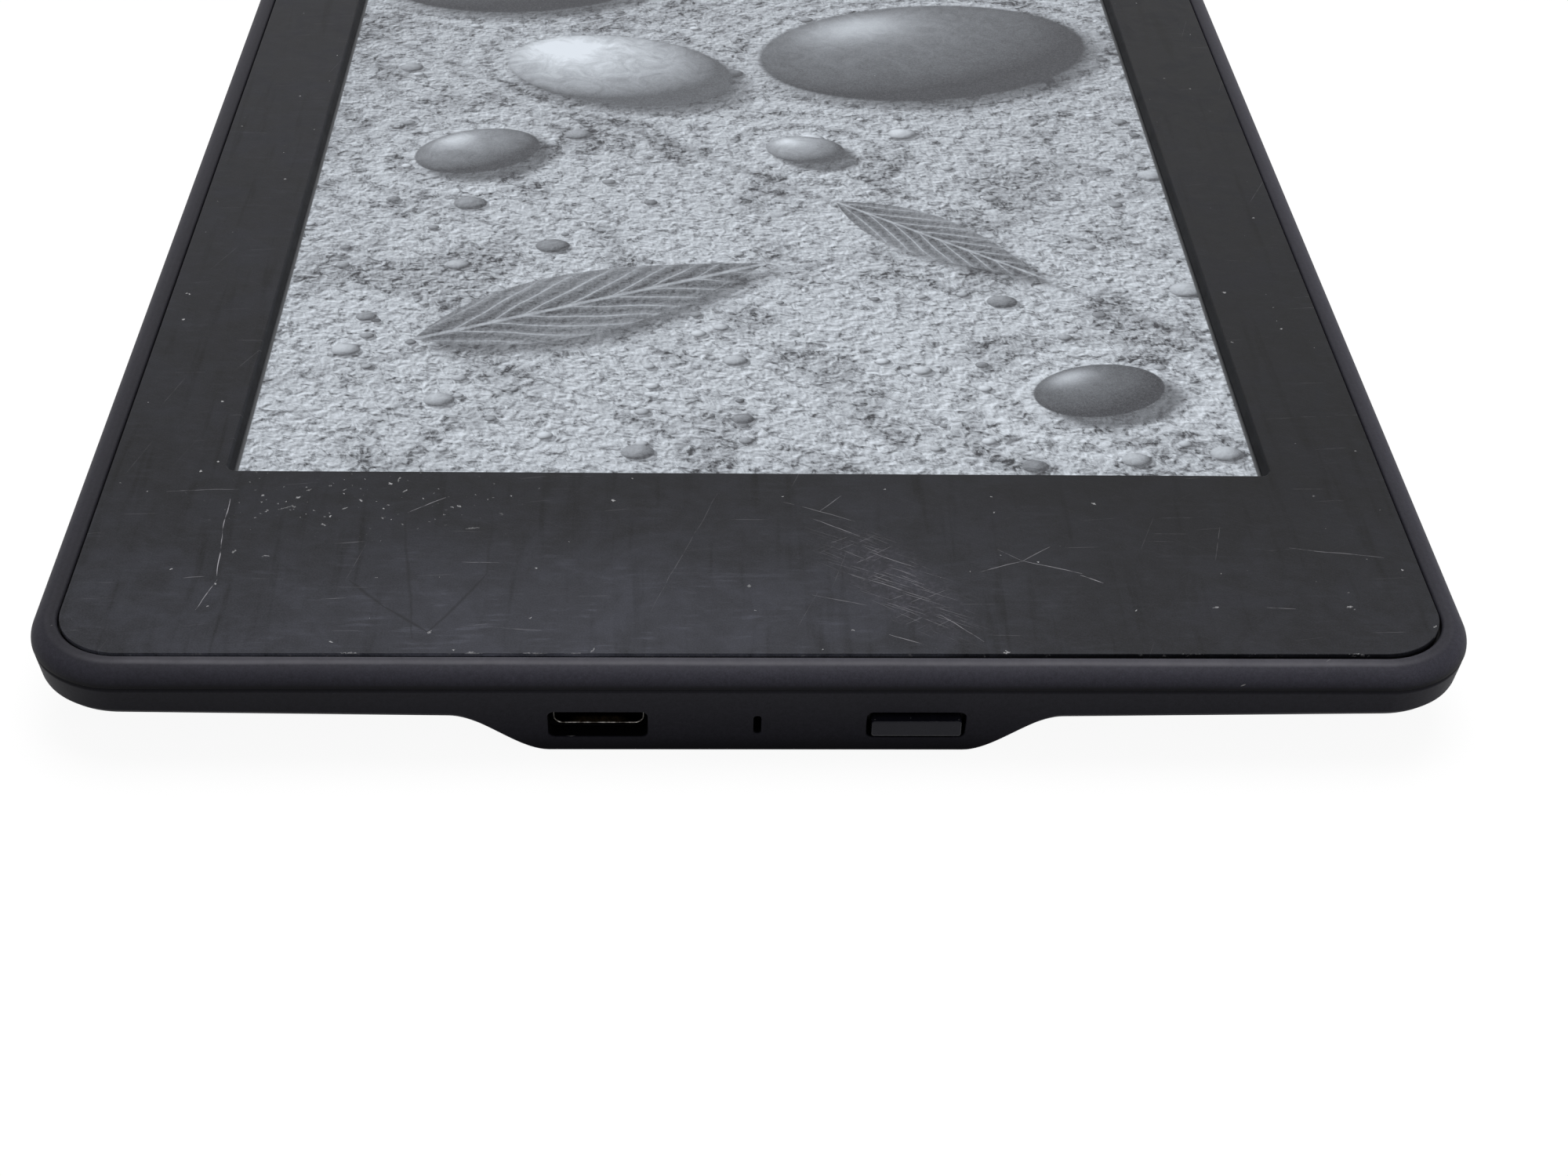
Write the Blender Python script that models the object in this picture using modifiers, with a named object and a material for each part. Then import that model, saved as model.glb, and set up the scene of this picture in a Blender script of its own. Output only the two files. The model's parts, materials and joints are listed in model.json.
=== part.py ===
"""An e-reader: a slim tablet with a recessed e-paper screen, a port edge and one power button.

Metres, +Z up. The reader lies on its back: +X is its right side, +Y its top edge, and Z = 0 its flat back.
The origin is under the middle of the back. Run with blender --background --python part.py.
"""

import math

import bmesh
import bpy

MM = 0.001

# Overall plan size. The screen takes what the frame around it leaves.
BODY_WIDTH = 117.0 * MM
BODY_LENGTH = 169.0 * MM
BODY_CORNER_RADIUS = 8.0 * MM

# Thicknesses of the layers, from the back to the front. They add up to 9.1 mm.
FLOOR_THICKNESS = 1.1 * MM
BATTERY_CLEARANCE = 0.3 * MM
BATTERY_THICKNESS = 3.5 * MM
TAPE_THICKNESS = 0.15 * MM
CHASSIS_THICKNESS = 0.6 * MM
PANEL_THICKNESS = 0.8 * MM
LIGHT_GUIDE_THICKNESS = 0.6 * MM
TOUCH_THICKNESS = 0.3 * MM
FILM_THICKNESS = 0.2 * MM
GASKET_THICKNESS = 0.25 * MM
BEZEL_THICKNESS = 0.9 * MM

# Clearances: between glued layers, between rigid pieces, and round what slides.
GLUE_GAP = 0.05 * MM
FIT_GAP = 0.2 * MM
SLIDE_GAP = 0.1 * MM

# Rear cover: the rolled rim round the bezel, the side wall and the tapered back.
RIM_WIDTH = 2.25 * MM
RIM_DROP = 0.1 * MM
LIP_RADIUS = 0.3 * MM
CREASE_DROP = 1.7 * MM
EDGE_DROP = 4.53 * MM
EDGE_RADIUS = 0.4 * MM
WALL_SLANT = 0.145
COVER_WALL = 1.3 * MM
BACK_TAPER = 16.0 * MM
BACK_CORNER_RADIUS = 4.0 * MM
LEDGE_WIDTH = 1.0 * MM
LEDGE_THICKNESS = 0.8 * MM
LAND_SLOPE = 7.9 * MM

# Front bezel and its snap clips.
SEAM_GAP = 0.2 * MM
BEZEL_EDGE_RADIUS = 0.2 * MM
APERTURE_EDGE_RADIUS = 0.2 * MM
APERTURE_SLOPE = 0.35 * MM
APERTURE_CORNER_RADIUS = 0.8 * MM
CLIP_THICKNESS = 0.7 * MM
CLIP_WIDTH = 8.0 * MM
CLIP_NOSE = 0.5 * MM
CLIP_ROOT = 0.4 * MM
SIDE_CLIP_PITCH = 39.0 * MM
SIDE_CLIP_COUNT = 4
TOP_CLIP_PITCH = 36.0 * MM
TOP_CLIP_COUNT = 3
BOTTOM_CLIP_PITCH = 76.0 * MM
BOTTOM_CLIP_COUNT = 2

# Strips of the chassis outside the display tray, where its screws stand.
SIDE_LAND = 4.7 * MM
TOP_LAND = 9.1 * MM
BOTTOM_LAND = 14.75 * MM
TRAY_WALL = 0.7 * MM
TRAY_HEIGHT = 1.2 * MM

# Display stack: borders of the panel outside its active area.
PANEL_SIDE_BORDER = 3.0 * MM
PANEL_TOP_BORDER = 3.6 * MM
PANEL_BOTTOM_BORDER = 9.0 * MM
OPTICS_BOTTOM_BORDER = 4.0 * MM
SCREEN_BORDER = 0.65 * MM
GASKET_SETBACK = 0.4 * MM
LED_WIDTH = 3.0 * MM
LED_DEPTH = 1.0 * MM
LED_COUNT = 4
LED_PITCH = 16.0 * MM
STRIP_THICKNESS = 0.2 * MM
STRIP_DEPTH = 3.2 * MM
STRIP_END = 3.0 * MM
STRIP_CLEARANCE = 1.0 * MM

# Ribbon cables that fold round the lower edge of the display, through slots in the chassis.
RIBBON_THICKNESS = 0.15 * MM
RIBBON_LEAD = 1.6 * MM
DISPLAY_RIBBON_WIDTH = 16.0 * MM
DISPLAY_RIBBON_X = 6.0 * MM
TOUCH_RIBBON_WIDTH = 8.0 * MM
TOUCH_RIBBON_X = 26.0 * MM
LIGHT_RIBBON_WIDTH = 6.0 * MM
LIGHT_RIBBON_X = -26.0 * MM
CONNECTOR_HEIGHT = 1.0 * MM
CONNECTOR_DEPTH = 3.4 * MM
CONNECTOR_END = 1.5 * MM
CONNECTOR_SETBACK = 3.0 * MM

# Battery.
BATTERY_WIDTH = 47.0 * MM
BATTERY_LENGTH = 75.0 * MM
BATTERY_EDGE_RADIUS = 0.8 * MM
BATTERY_BOARD_WIDTH = 24.0 * MM
BATTERY_BOARD_LENGTH = 6.0 * MM
BATTERY_BOARD_LAP = 3.0 * MM
BATTERY_SCREW_PITCH = 16.0 * MM

# Main board. A narrow tongue reaches the ports, and the wide part lies behind the taper.
BOARD_THICKNESS = 0.8 * MM
BOARD_RISE = 0.1 * MM
BOARD_WIDTH = 68.0 * MM
BOARD_LENGTH = 30.0 * MM
BOARD_CORNER_RADIUS = 1.0 * MM
TONGUE_MARGIN = 1.5 * MM
BOARD_TAPER_SETBACK = 11.6 * MM
POST_RADIUS = 1.6 * MM
BOARD_SCREW_INSET = 3.0 * MM
CHIP_HEIGHT = 0.6 * MM
SHIELD_HEIGHT = 1.0 * MM
SHIELD_WALL = 0.2 * MM
SHIELD_GAP = 0.9 * MM
PROCESSOR_SIZE = 11.0 * MM
MEMORY_SIZE = 8.0 * MM
STORAGE_SIZE = 9.0 * MM
POWER_CHIP_SIZE = 6.0 * MM
RADIO_SIZE = 7.0 * MM
SENSOR_SIZE = 1.6 * MM
ANTENNA_LENGTH = 11.0 * MM
ANTENNA_DEPTH = 2.6 * MM
CHIP_SPACING = 2.0 * MM
CHIP_ROW_SETBACK = 13.5 * MM

# Ports along the lower edge.
PORT_PITCH = 12.8 * MM
PORT_OPENING_WIDTH = 8.0 * MM
PORT_OPENING_HEIGHT = 2.92 * MM
PORT_CORNER_RADIUS = 0.55 * MM
USB_WIDTH = 7.5 * MM
USB_HEIGHT = 2.45 * MM
USB_DEPTH = 5.0 * MM
USB_WALL = 0.25 * MM
USB_CHAMFER = 0.75 * MM
USB_BASE_DEPTH = 1.4 * MM
TONGUE_WIDTH = 3.9 * MM
TONGUE_THICKNESS = 0.6 * MM
TONGUE_SETBACK = 0.9 * MM
STATUS_SLOT_WIDTH = 0.63 * MM
STATUS_SLOT_HEIGHT = 2.06 * MM
PIPE_RECESS = 0.5 * MM
PIPE_FLANGE = 0.6 * MM
PIPE_FLANGE_OVERHANG = 0.7 * MM
STATUS_LED_SIZE = 0.8 * MM

# Power button and the side-push switch behind it.
BUTTON_WIDTH = 7.24 * MM
BUTTON_HEIGHT = 1.52 * MM
BUTTON_PROUD = 0.5 * MM
BUTTON_TRAVEL = 0.4 * MM
BUTTON_EAR = 1.3 * MM
BUTTON_FLANGE = 0.6 * MM
BUTTON_NUB_WIDTH = 2.0 * MM
BUTTON_NUB_LENGTH = 0.6 * MM
BUTTON_EDGE_RADIUS = 0.12 * MM
SWITCH_WIDTH = 4.6 * MM
SWITCH_DEPTH = 2.4 * MM
SWITCH_HEIGHT = 1.7 * MM
PLUNGER_WIDTH = 1.4 * MM
PLUNGER_HEIGHT = 0.8 * MM
PLUNGER_REACH = 0.7 * MM
PLUNGER_ROOT = 0.6 * MM

# Screws.
SCREW_SHANK_RADIUS = 0.7 * MM
SCREW_HEAD_RADIUS = 1.35 * MM
SCREW_HEAD_HEIGHT = 0.7 * MM
SCREW_CROWN_CHAMFER = 0.4 * MM
SCREW_CROWN_DROP = 0.28 * MM
SCREW_HOLE_GAP = 0.12 * MM
CHASSIS_SCREW_LENGTH = 2.1 * MM
BOARD_SCREW_LENGTH = 1.8 * MM
BATTERY_SCREW_LENGTH = 1.3 * MM
BOSS_RADIUS = 1.8 * MM
SIDE_SCREW_PITCH = 38.0 * MM
SIDE_SCREW_COUNT = 3
TOP_SCREW_INSET = 30.0 * MM
BOTTOM_SCREW_INSET = 10.0 * MM
BOTTOM_SCREW_LAND = 7.0 * MM

# Facet counts, and how near two points are welded.
WELD_DISTANCE = 0.001 * MM
CORNER_STEPS = 8
SLOPE_STEPS = 6
TAPER_STEPS = 5
ROLL_STEPS = 5
ROUND_STEPS = 12
SMALL_CORNER_STEPS = 3

# Heights worked out from the layers.
Z_FLOOR = FLOOR_THICKNESS
Z_BATTERY = Z_FLOOR + BATTERY_CLEARANCE
Z_TAPE = Z_BATTERY + BATTERY_THICKNESS + GLUE_GAP
Z_CHASSIS = Z_TAPE + TAPE_THICKNESS + GLUE_GAP
Z_CHASSIS_TOP = Z_CHASSIS + CHASSIS_THICKNESS
Z_PANEL = Z_CHASSIS_TOP + GLUE_GAP
Z_LIGHT_GUIDE = Z_PANEL + PANEL_THICKNESS + GLUE_GAP
Z_TOUCH = Z_LIGHT_GUIDE + LIGHT_GUIDE_THICKNESS + GLUE_GAP
Z_FILM = Z_TOUCH + TOUCH_THICKNESS + GLUE_GAP
Z_GASKET = Z_FILM + FILM_THICKNESS + GLUE_GAP
Z_BEZEL = Z_GASKET + GASKET_THICKNESS + GLUE_GAP
Z_TOP = Z_BEZEL + BEZEL_THICKNESS
Z_RIM = Z_TOP - RIM_DROP
Z_CREASE = Z_TOP - CREASE_DROP
Z_EDGE = Z_TOP - EDGE_DROP
Z_SEAT = Z_BEZEL - GLUE_GAP
Z_LEDGE = Z_SEAT - LEDGE_THICKNESS
Z_PORT = (Z_FLOOR + Z_CHASSIS) / 2 + BOARD_RISE
Z_BOARD = Z_PORT - BOARD_THICKNESS / 2
Z_BOARD_TOP = Z_BOARD + BOARD_THICKNESS

# Insets from the body's outline.
CLIP_INSET = RIM_WIDTH + LEDGE_WIDTH + FIT_GAP
CHASSIS_INSET = CLIP_INSET + CLIP_THICKNESS + 2 * FIT_GAP
TRAY_INSET = CHASSIS_INSET + SIDE_LAND + TRAY_WALL + FIT_GAP
TRAY_TOP_INSET = CHASSIS_INSET + TOP_LAND + TRAY_WALL + FIT_GAP
PANEL_BOTTOM_INSET = CHASSIS_INSET + BOTTOM_LAND + FIT_GAP
LAND_HALF = PORT_PITCH + PORT_OPENING_WIDTH / 2

# The display panel and its active area.
PANEL_HALF_WIDTH = BODY_WIDTH / 2 - TRAY_INSET
PANEL_TOP = BODY_LENGTH / 2 - TRAY_TOP_INSET
PANEL_BOTTOM = -BODY_LENGTH / 2 + PANEL_BOTTOM_INSET
ACTIVE_HALF_WIDTH = PANEL_HALF_WIDTH - PANEL_SIDE_BORDER
ACTIVE_TOP = PANEL_TOP - PANEL_TOP_BORDER
ACTIVE_BOTTOM = PANEL_BOTTOM + PANEL_BOTTOM_BORDER
ACTIVE_CENTRE_Y = (ACTIVE_TOP + ACTIVE_BOTTOM) / 2
ACTIVE_HALF_LENGTH = (ACTIVE_TOP - ACTIVE_BOTTOM) / 2
OPTICS_BOTTOM = ACTIVE_BOTTOM - OPTICS_BOTTOM_BORDER
STRIP_LENGTH = LED_PITCH * (LED_COUNT - 1) + LED_WIDTH + 2 * STRIP_END
STRIP_RIGHT = TOUCH_RIBBON_X - TOUCH_RIBBON_WIDTH / 2 - STRIP_CLEARANCE
STRIP_CENTRE_X = STRIP_RIGHT - STRIP_LENGTH / 2


def wall_inset(z):
    """How far the side wall lies inside the body's outline at a height below the crease."""
    return WALL_SLANT * (Z_CREASE - z)


# Places along the port edge, measured on the inner face of its wall.
WALL_Y = -BODY_LENGTH / 2 + wall_inset(Z_PORT)
INNER_WALL_Y = -BODY_LENGTH / 2 + wall_inset(Z_PORT - PORT_OPENING_HEIGHT / 2) + COVER_WALL
FLANGE_Y = INNER_WALL_Y + SLIDE_GAP
FLANGE_BACK_Y = FLANGE_Y + BUTTON_FLANGE
PLUNGER_Y = FLANGE_BACK_Y + BUTTON_NUB_LENGTH + GLUE_GAP
SWITCH_Y = PLUNGER_Y + PLUNGER_REACH
BOARD_EDGE_Y = FLANGE_BACK_Y + BUTTON_TRAVEL + FIT_GAP
USB_Y = INNER_WALL_Y + FIT_GAP
BOARD_STEP_Y = -BODY_LENGTH / 2 + BOARD_TAPER_SETBACK
BOARD_BACK_Y = BOARD_STEP_Y + BOARD_LENGTH
BATTERY_Y = BOARD_BACK_Y + BATTERY_BOARD_LENGTH - BATTERY_BOARD_LAP + FIT_GAP
RIBBON_TURN_Y = PANEL_BOTTOM - RIBBON_LEAD
CONNECTOR_Y = RIBBON_TURN_Y + CONNECTOR_SETBACK


def clear_scene():
    for obj in list(bpy.data.objects):
        bpy.data.objects.remove(obj, do_unlink=True)


def new_collection(name):
    collection = bpy.data.collections.new(name)
    bpy.context.scene.collection.children.link(collection)
    return collection


clear_scene()
PARTS = new_collection("e_reader")
CUTTERS = new_collection("e_reader_cutters")


def material(name, colour, roughness, metallic=0.0):
    """A Principled material, made once for each name."""
    found = bpy.data.materials.get(name)
    if found:
        return found
    made = bpy.data.materials.new(name)
    made.use_nodes = True
    made.diffuse_color = (*colour, 1.0)
    shader = made.node_tree.nodes["Principled BSDF"]
    shader.inputs["Base Color"].default_value = (*colour, 1.0)
    shader.inputs["Roughness"].default_value = roughness
    shader.inputs["Metallic"].default_value = metallic
    return made


SOFT_BLACK = material("soft_touch_plastic", (0.045, 0.045, 0.050), 0.60)
BEZEL_BLACK = material("bezel_plastic", (0.050, 0.050, 0.053), 0.55)
GLOSS_BLACK = material("button_plastic", (0.020, 0.020, 0.023), 0.30)
DARK_PLASTIC = material("moulded_plastic", (0.030, 0.030, 0.032), 0.50)
CLEAR_PLASTIC = material("clear_plastic", (0.75, 0.78, 0.80), 0.15)
SCREEN_GREY = material("matte_screen_film", (0.55, 0.57, 0.58), 0.40)
PAPER_GREY = material("e_paper", (0.62, 0.63, 0.62), 0.70)
FOAM_BLACK = material("foam", (0.020, 0.020, 0.020), 0.95)
MAGNESIUM = material("cast_magnesium", (0.45, 0.46, 0.47), 0.45, 1.0)
STEEL = material("plated_steel", (0.60, 0.60, 0.61), 0.30, 1.0)
SCREW_STEEL = material("black_steel", (0.09, 0.09, 0.10), 0.40, 1.0)
CIRCUIT_GREEN = material("circuit_board", (0.02, 0.11, 0.05), 0.45)
CHIP_BLACK = material("chip_resin", (0.020, 0.020, 0.022), 0.55)
POUCH_SILVER = material("battery_pouch", (0.52, 0.53, 0.55), 0.35, 0.8)
RIBBON_AMBER = material("polyimide", (0.42, 0.20, 0.04), 0.40)
TAPE_WHITE = material("adhesive_tape", (0.75, 0.74, 0.70), 0.80)
LED_YELLOW = material("led_phosphor", (0.80, 0.70, 0.25), 0.35)
GOLD = material("gold_plate", (0.80, 0.58, 0.22), 0.30, 1.0)


def finish(obj, look, smooth_angle=math.radians(35)):
    """Gives a part its material and its shading."""
    obj.data.materials.clear()
    obj.data.materials.append(look)
    if obj.type == "MESH":
        obj.data.shade_smooth()
        obj.data.set_sharp_from_angle(angle=smooth_angle)
    return obj


def make_cutter(obj):
    obj.hide_render = True
    obj.display_type = "WIRE"
    for collection in list(obj.users_collection):
        collection.objects.unlink(obj)
    CUTTERS.objects.link(obj)
    return obj


def boolean(target, other, operation):
    """Adds a Boolean modifier that joins, cuts or clips the target with another mesh."""
    make_cutter(other)
    modifier = target.modifiers.new(f"{operation.lower()}_{other.name}", "BOOLEAN")
    modifier.operation = operation
    modifier.solver = "EXACT"
    modifier.object = other


def bevel(obj, width, segments=2):
    modifier = obj.modifiers.new("rounded_edges", "BEVEL")
    modifier.width = width
    modifier.segments = segments
    modifier.limit_method = "ANGLE"


def mesh_object(name, bm):
    """A new part from a bmesh, with its faces pointing out."""
    bmesh.ops.recalc_face_normals(bm, faces=bm.faces)
    mesh = bpy.data.meshes.new(name)
    bm.to_mesh(mesh)
    bm.free()
    obj = bpy.data.objects.new(name, mesh)
    PARTS.objects.link(obj)
    return obj


def box(name, low, high):
    """A box between two corners, with its origin at its middle."""
    bm = bmesh.new()
    size = [high[i] - low[i] for i in range(3)]
    bmesh.ops.create_cube(bm, size=1.0)
    bmesh.ops.scale(bm, vec=size, verts=bm.verts)
    obj = mesh_object(name, bm)
    obj.location = [(low[i] + high[i]) / 2 for i in range(3)]
    return obj


def centred_box(name, centre_x, width, y_low, y_high, z_low, z_high):
    half = width / 2
    return box(name, (centre_x - half, y_low, z_low), (centre_x + half, y_high, z_high))


def posts(name, places, radius, z_low, z_high):
    """One mesh of upright cylinders, one at each (x, y)."""
    bm = bmesh.new()
    for x, y in places:
        made = bmesh.ops.create_cone(
            bm,
            cap_ends=True,
            segments=ROUND_STEPS,
            radius1=radius,
            radius2=radius,
            depth=z_high - z_low,
        )
        bmesh.ops.translate(bm, verts=made["verts"], vec=(x, y, (z_low + z_high) / 2))
    return mesh_object(name, bm)


def arc(centre_x, centre_y, radius, start, end, steps):
    """Points on an arc between two angles in degrees."""
    points = []
    for step in range(steps + 1):
        angle = math.radians(start + (end - start) * step / steps)
        points.append((centre_x + radius * math.cos(angle), centre_y + radius * math.sin(angle)))
    return points


def rounded_rectangle(half_x, half_y, radius, steps=SMALL_CORNER_STEPS, centre=(0.0, 0.0)):
    """Points of a rounded rectangle, anticlockwise from its lower right corner."""
    x, y = centre
    points = arc(x + half_x - radius, y - half_y + radius, radius, -90, 0, steps)
    points += arc(x + half_x - radius, y + half_y - radius, radius, 0, 90, steps)
    points += arc(x - half_x + radius, y + half_y - radius, radius, 90, 180, steps)
    points += arc(x - half_x + radius, y - half_y + radius, radius, 180, 270, steps)
    return points


def rectangle(x_low, y_low, x_high, y_high):
    return [(x_low, y_low), (x_high, y_low), (x_high, y_high), (x_low, y_high)]


def circle(x, y, radius):
    return arc(x, y, radius, 0, 360, ROUND_STEPS)[:-1]


def plate(name, loops, z_low, z_high):
    """A flat outline with any holes, as a filled 2D curve extruded between two heights."""
    curve = bpy.data.curves.new(name, "CURVE")
    curve.dimensions = "2D"
    curve.fill_mode = "BOTH"
    curve.extrude = (z_high - z_low) / 2
    for loop in loops:
        spline = curve.splines.new("POLY")
        spline.points.add(len(loop) - 1)
        spline.use_cyclic_u = True
        for point, (x, y) in zip(spline.points, loop):
            point.co = (x, y, 0.0, 1.0)
    obj = bpy.data.objects.new(name, curve)
    PARTS.objects.link(obj)
    obj.location.z = (z_low + z_high) / 2
    return obj


def as_mesh(obj):
    """The same part as a welded mesh, which a Boolean can take."""
    bpy.context.view_layer.update()
    name = obj.name
    graph = bpy.context.evaluated_depsgraph_get()
    mesh = bpy.data.meshes.new_from_object(obj.evaluated_get(graph))
    bm = bmesh.new()
    bm.from_mesh(mesh)
    bmesh.ops.remove_doubles(bm, verts=bm.verts, dist=WELD_DISTANCE)
    bmesh.ops.recalc_face_normals(bm, faces=bm.faces)
    bm.to_mesh(mesh)
    bm.free()
    made = bpy.data.objects.new(name, mesh)
    made.matrix_world = obj.matrix_world
    bpy.data.objects.remove(obj, do_unlink=True)
    made.name = name
    PARTS.objects.link(made)
    return made


def gathered(name, pieces):
    """One mesh object that holds the meshes of several, each where it stood."""
    bpy.context.view_layer.update()
    bm = bmesh.new()
    for piece in pieces:
        piece.data.transform(piece.matrix_world)
        bm.from_mesh(piece.data)
        bpy.data.objects.remove(piece, do_unlink=True)
    return mesh_object(name, bm)


def upright_plate(name, loops, y_low, y_high, centre_x, centre_z):
    """A plate whose outline is given in X and Z, standing between two places along Y."""
    made = plate(name, loops, y_low, y_high)
    made.rotation_euler.x = math.radians(90)
    made.location = (centre_x, (y_low + y_high) / 2, centre_z)
    return made


def side_profile(name, loop, centre_x, width):
    """A plate whose outline is given in Y and Z, centred across X."""
    made = plate(name, [loop], -width / 2, width / 2)
    made.rotation_euler = (math.radians(90), 0.0, math.radians(90))
    made.location = (centre_x, 0.0, 0.0)
    return made


def turned(name, profile, place):
    """A turned piece: a profile of (radius, height) from the top down, swept by a Screw modifier."""
    bm = bmesh.new()
    points = [bm.verts.new((radius, 0.0, height)) for radius, height in profile]
    for first, second in zip(points, points[1:]):
        bm.edges.new((first, second))
    mesh = bpy.data.meshes.new(name)
    bm.to_mesh(mesh)
    bm.free()
    obj = bpy.data.objects.new(name, mesh)
    PARTS.objects.link(obj)
    obj.location = place
    screw = obj.modifiers.new("turn", "SCREW")
    screw.axis = "Z"
    screw.steps = ROUND_STEPS
    screw.render_steps = ROUND_STEPS
    screw.use_merge_vertices = True
    screw.merge_threshold = WELD_DISTANCE
    return obj


def loft(name, rings, closed=False):
    """A skin over rings of equal point counts. An open loft is capped at both ends."""
    bm = bmesh.new()
    rows = [[bm.verts.new(point) for point in ring] for ring in rings]
    count = len(rows[0])
    pairs = list(zip(rows, rows[1:]))
    if closed:
        pairs.append((rows[-1], rows[0]))
    for first, second in pairs:
        for i in range(count):
            j = (i + 1) % count
            bm.faces.new((first[i], first[j], second[j], second[i]))
    if not closed:
        bm.faces.new(rows[0])
        bm.faces.new(rows[-1])
    return mesh_object(name, bm)


def land_share(x):
    """1 on the deep land that holds the ports, 0 beyond its slopes, with a smooth step between."""
    t = (LAND_HALF + LAND_SLOPE - abs(x)) / LAND_SLOPE
    t = min(1.0, max(0.0, t))
    return t * t * (3 - 2 * t)


def land_columns():
    """Places across the lower edge where the cover's section changes, from left to right."""
    right = [LAND_HALF + LAND_SLOPE * step / SLOPE_STEPS for step in range(SLOPE_STEPS + 1)]
    return [-x for x in reversed(right)] + right


def outline_columns():
    """The columns of the cover's skin: (corner x sign, corner y sign, angle) or (x on the lower edge)."""
    columns = [("edge", x) for x in land_columns()]
    for sign_x, sign_y, start in ((1, -1, -90), (1, 1, 0), (-1, 1, 90), (-1, -1, 180)):
        for step in range(CORNER_STEPS + 1):
            columns.append(("corner", sign_x, sign_y, math.radians(start + 90 * step / CORNER_STEPS)))
    return columns


def outline_point(column, inset):
    """The point of a column on the body's outline, drawn in by an inset."""
    half_x = BODY_WIDTH / 2 - inset
    half_y = BODY_LENGTH / 2 - inset
    if column[0] == "edge":
        return column[1], -half_y
    radius = max(BODY_CORNER_RADIUS - inset, BACK_CORNER_RADIUS)
    x = column[1] * (half_x - radius) + radius * math.cos(column[3])
    y = column[2] * (half_y - radius) + radius * math.sin(column[3])
    return x, y


def column_land(column):
    return land_share(column[1]) if column[0] == "edge" else 0.0


BACK_INSET = wall_inset(Z_EDGE) + BACK_TAPER


def edge_height(land):
    """The height of the wall's lower edge: the taper's top, or the back itself on the land."""
    return Z_EDGE * (1 - land)


def back_height(inset, land):
    """The height of the tapered back at an inset."""
    edge = edge_height(land)
    share = (BACK_INSET - inset) / (BACK_INSET - wall_inset(edge))
    return edge * share * share


def outer_section(land):
    """(inset, height) up the outside, from the flat back to the seam."""
    edge = edge_height(land)
    edge_inset = wall_inset(edge)
    section = []
    for step in range(TAPER_STEPS + 1):
        inset = BACK_INSET + (edge_inset + EDGE_RADIUS - BACK_INSET) * step / TAPER_STEPS
        section.append((inset, back_height(inset, land)))
    softened = EDGE_RADIUS * (1 - math.sqrt(0.5))
    section.append((edge_inset + softened, edge + softened))
    section.append((wall_inset(edge + EDGE_RADIUS), edge + EDGE_RADIUS))
    roll_width = RIM_WIDTH - LIP_RADIUS
    for step in range(ROLL_STEPS + 1):
        angle = math.radians(90 * step / ROLL_STEPS)
        height = Z_CREASE + (Z_RIM - Z_CREASE) * math.sin(angle)
        section.append((roll_width * (1 - math.cos(angle)), height))
    softened = LIP_RADIUS * math.sqrt(0.5)
    section.append((roll_width + softened, Z_RIM - LIP_RADIUS + softened))
    section.append((RIM_WIDTH, Z_RIM - LIP_RADIUS))
    return section


def inner_section(land):
    """(inset, height) down the inside, from the bezel's seat to the floor."""
    edge_inset = wall_inset(edge_height(land))
    foot = edge_inset + COVER_WALL
    section = [
        (RIM_WIDTH, Z_SEAT),
        (RIM_WIDTH + LEDGE_WIDTH, Z_SEAT),
        (RIM_WIDTH + LEDGE_WIDTH, Z_LEDGE),
        (wall_inset(Z_LEDGE) + COVER_WALL, Z_LEDGE),
    ]
    for step in range(TAPER_STEPS + 1):
        inset = foot + (BACK_INSET - foot) * step / TAPER_STEPS
        section.append((inset, back_height(inset, land) + FLOOR_THICKNESS))
    return section


def skin_rings(section_of, shift=0.0):
    """Rings of points from a section at each column, drawn in and up by a shift."""
    columns = outline_columns()
    sections = [section_of(column_land(column)) for column in columns]
    rings = []
    for level in range(len(sections[0])):
        ring = []
        for column, section in zip(columns, sections):
            inset, height = section[level]
            x, y = outline_point(column, inset + shift)
            ring.append((x, y, height + shift))
        rings.append(ring)
    return rings


def row(pitch, count):
    """Evenly spaced places along a line, centred on 0."""
    return [pitch * (number - (count - 1) / 2) for number in range(count)]


def chassis_screw_places():
    half_x = BODY_WIDTH / 2 - CHASSIS_INSET
    half_y = BODY_LENGTH / 2 - CHASSIS_INSET
    side_x = half_x - SIDE_LAND / 2
    places = [(sign * side_x, y) for y in row(SIDE_SCREW_PITCH, SIDE_SCREW_COUNT) for sign in (-1, 1)]
    places += [(sign * (half_x - TOP_SCREW_INSET), half_y - TOP_LAND / 2) for sign in (-1, 1)]
    places += [(sign * (half_x - BOTTOM_SCREW_INSET), BOTTOM_SCREW_LAND - half_y) for sign in (-1, 1)]
    return places


def port_cutter(name, centre_x, width, height, radius):
    """A round-cornered hole through the wall of the port edge."""
    loop = rounded_rectangle(width / 2, height / 2, radius)
    y_low = -BODY_LENGTH / 2 - COVER_WALL
    y_high = INNER_WALL_Y + COVER_WALL
    return as_mesh(upright_plate(name, [loop], y_low, y_high, centre_x, Z_PORT))


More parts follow.
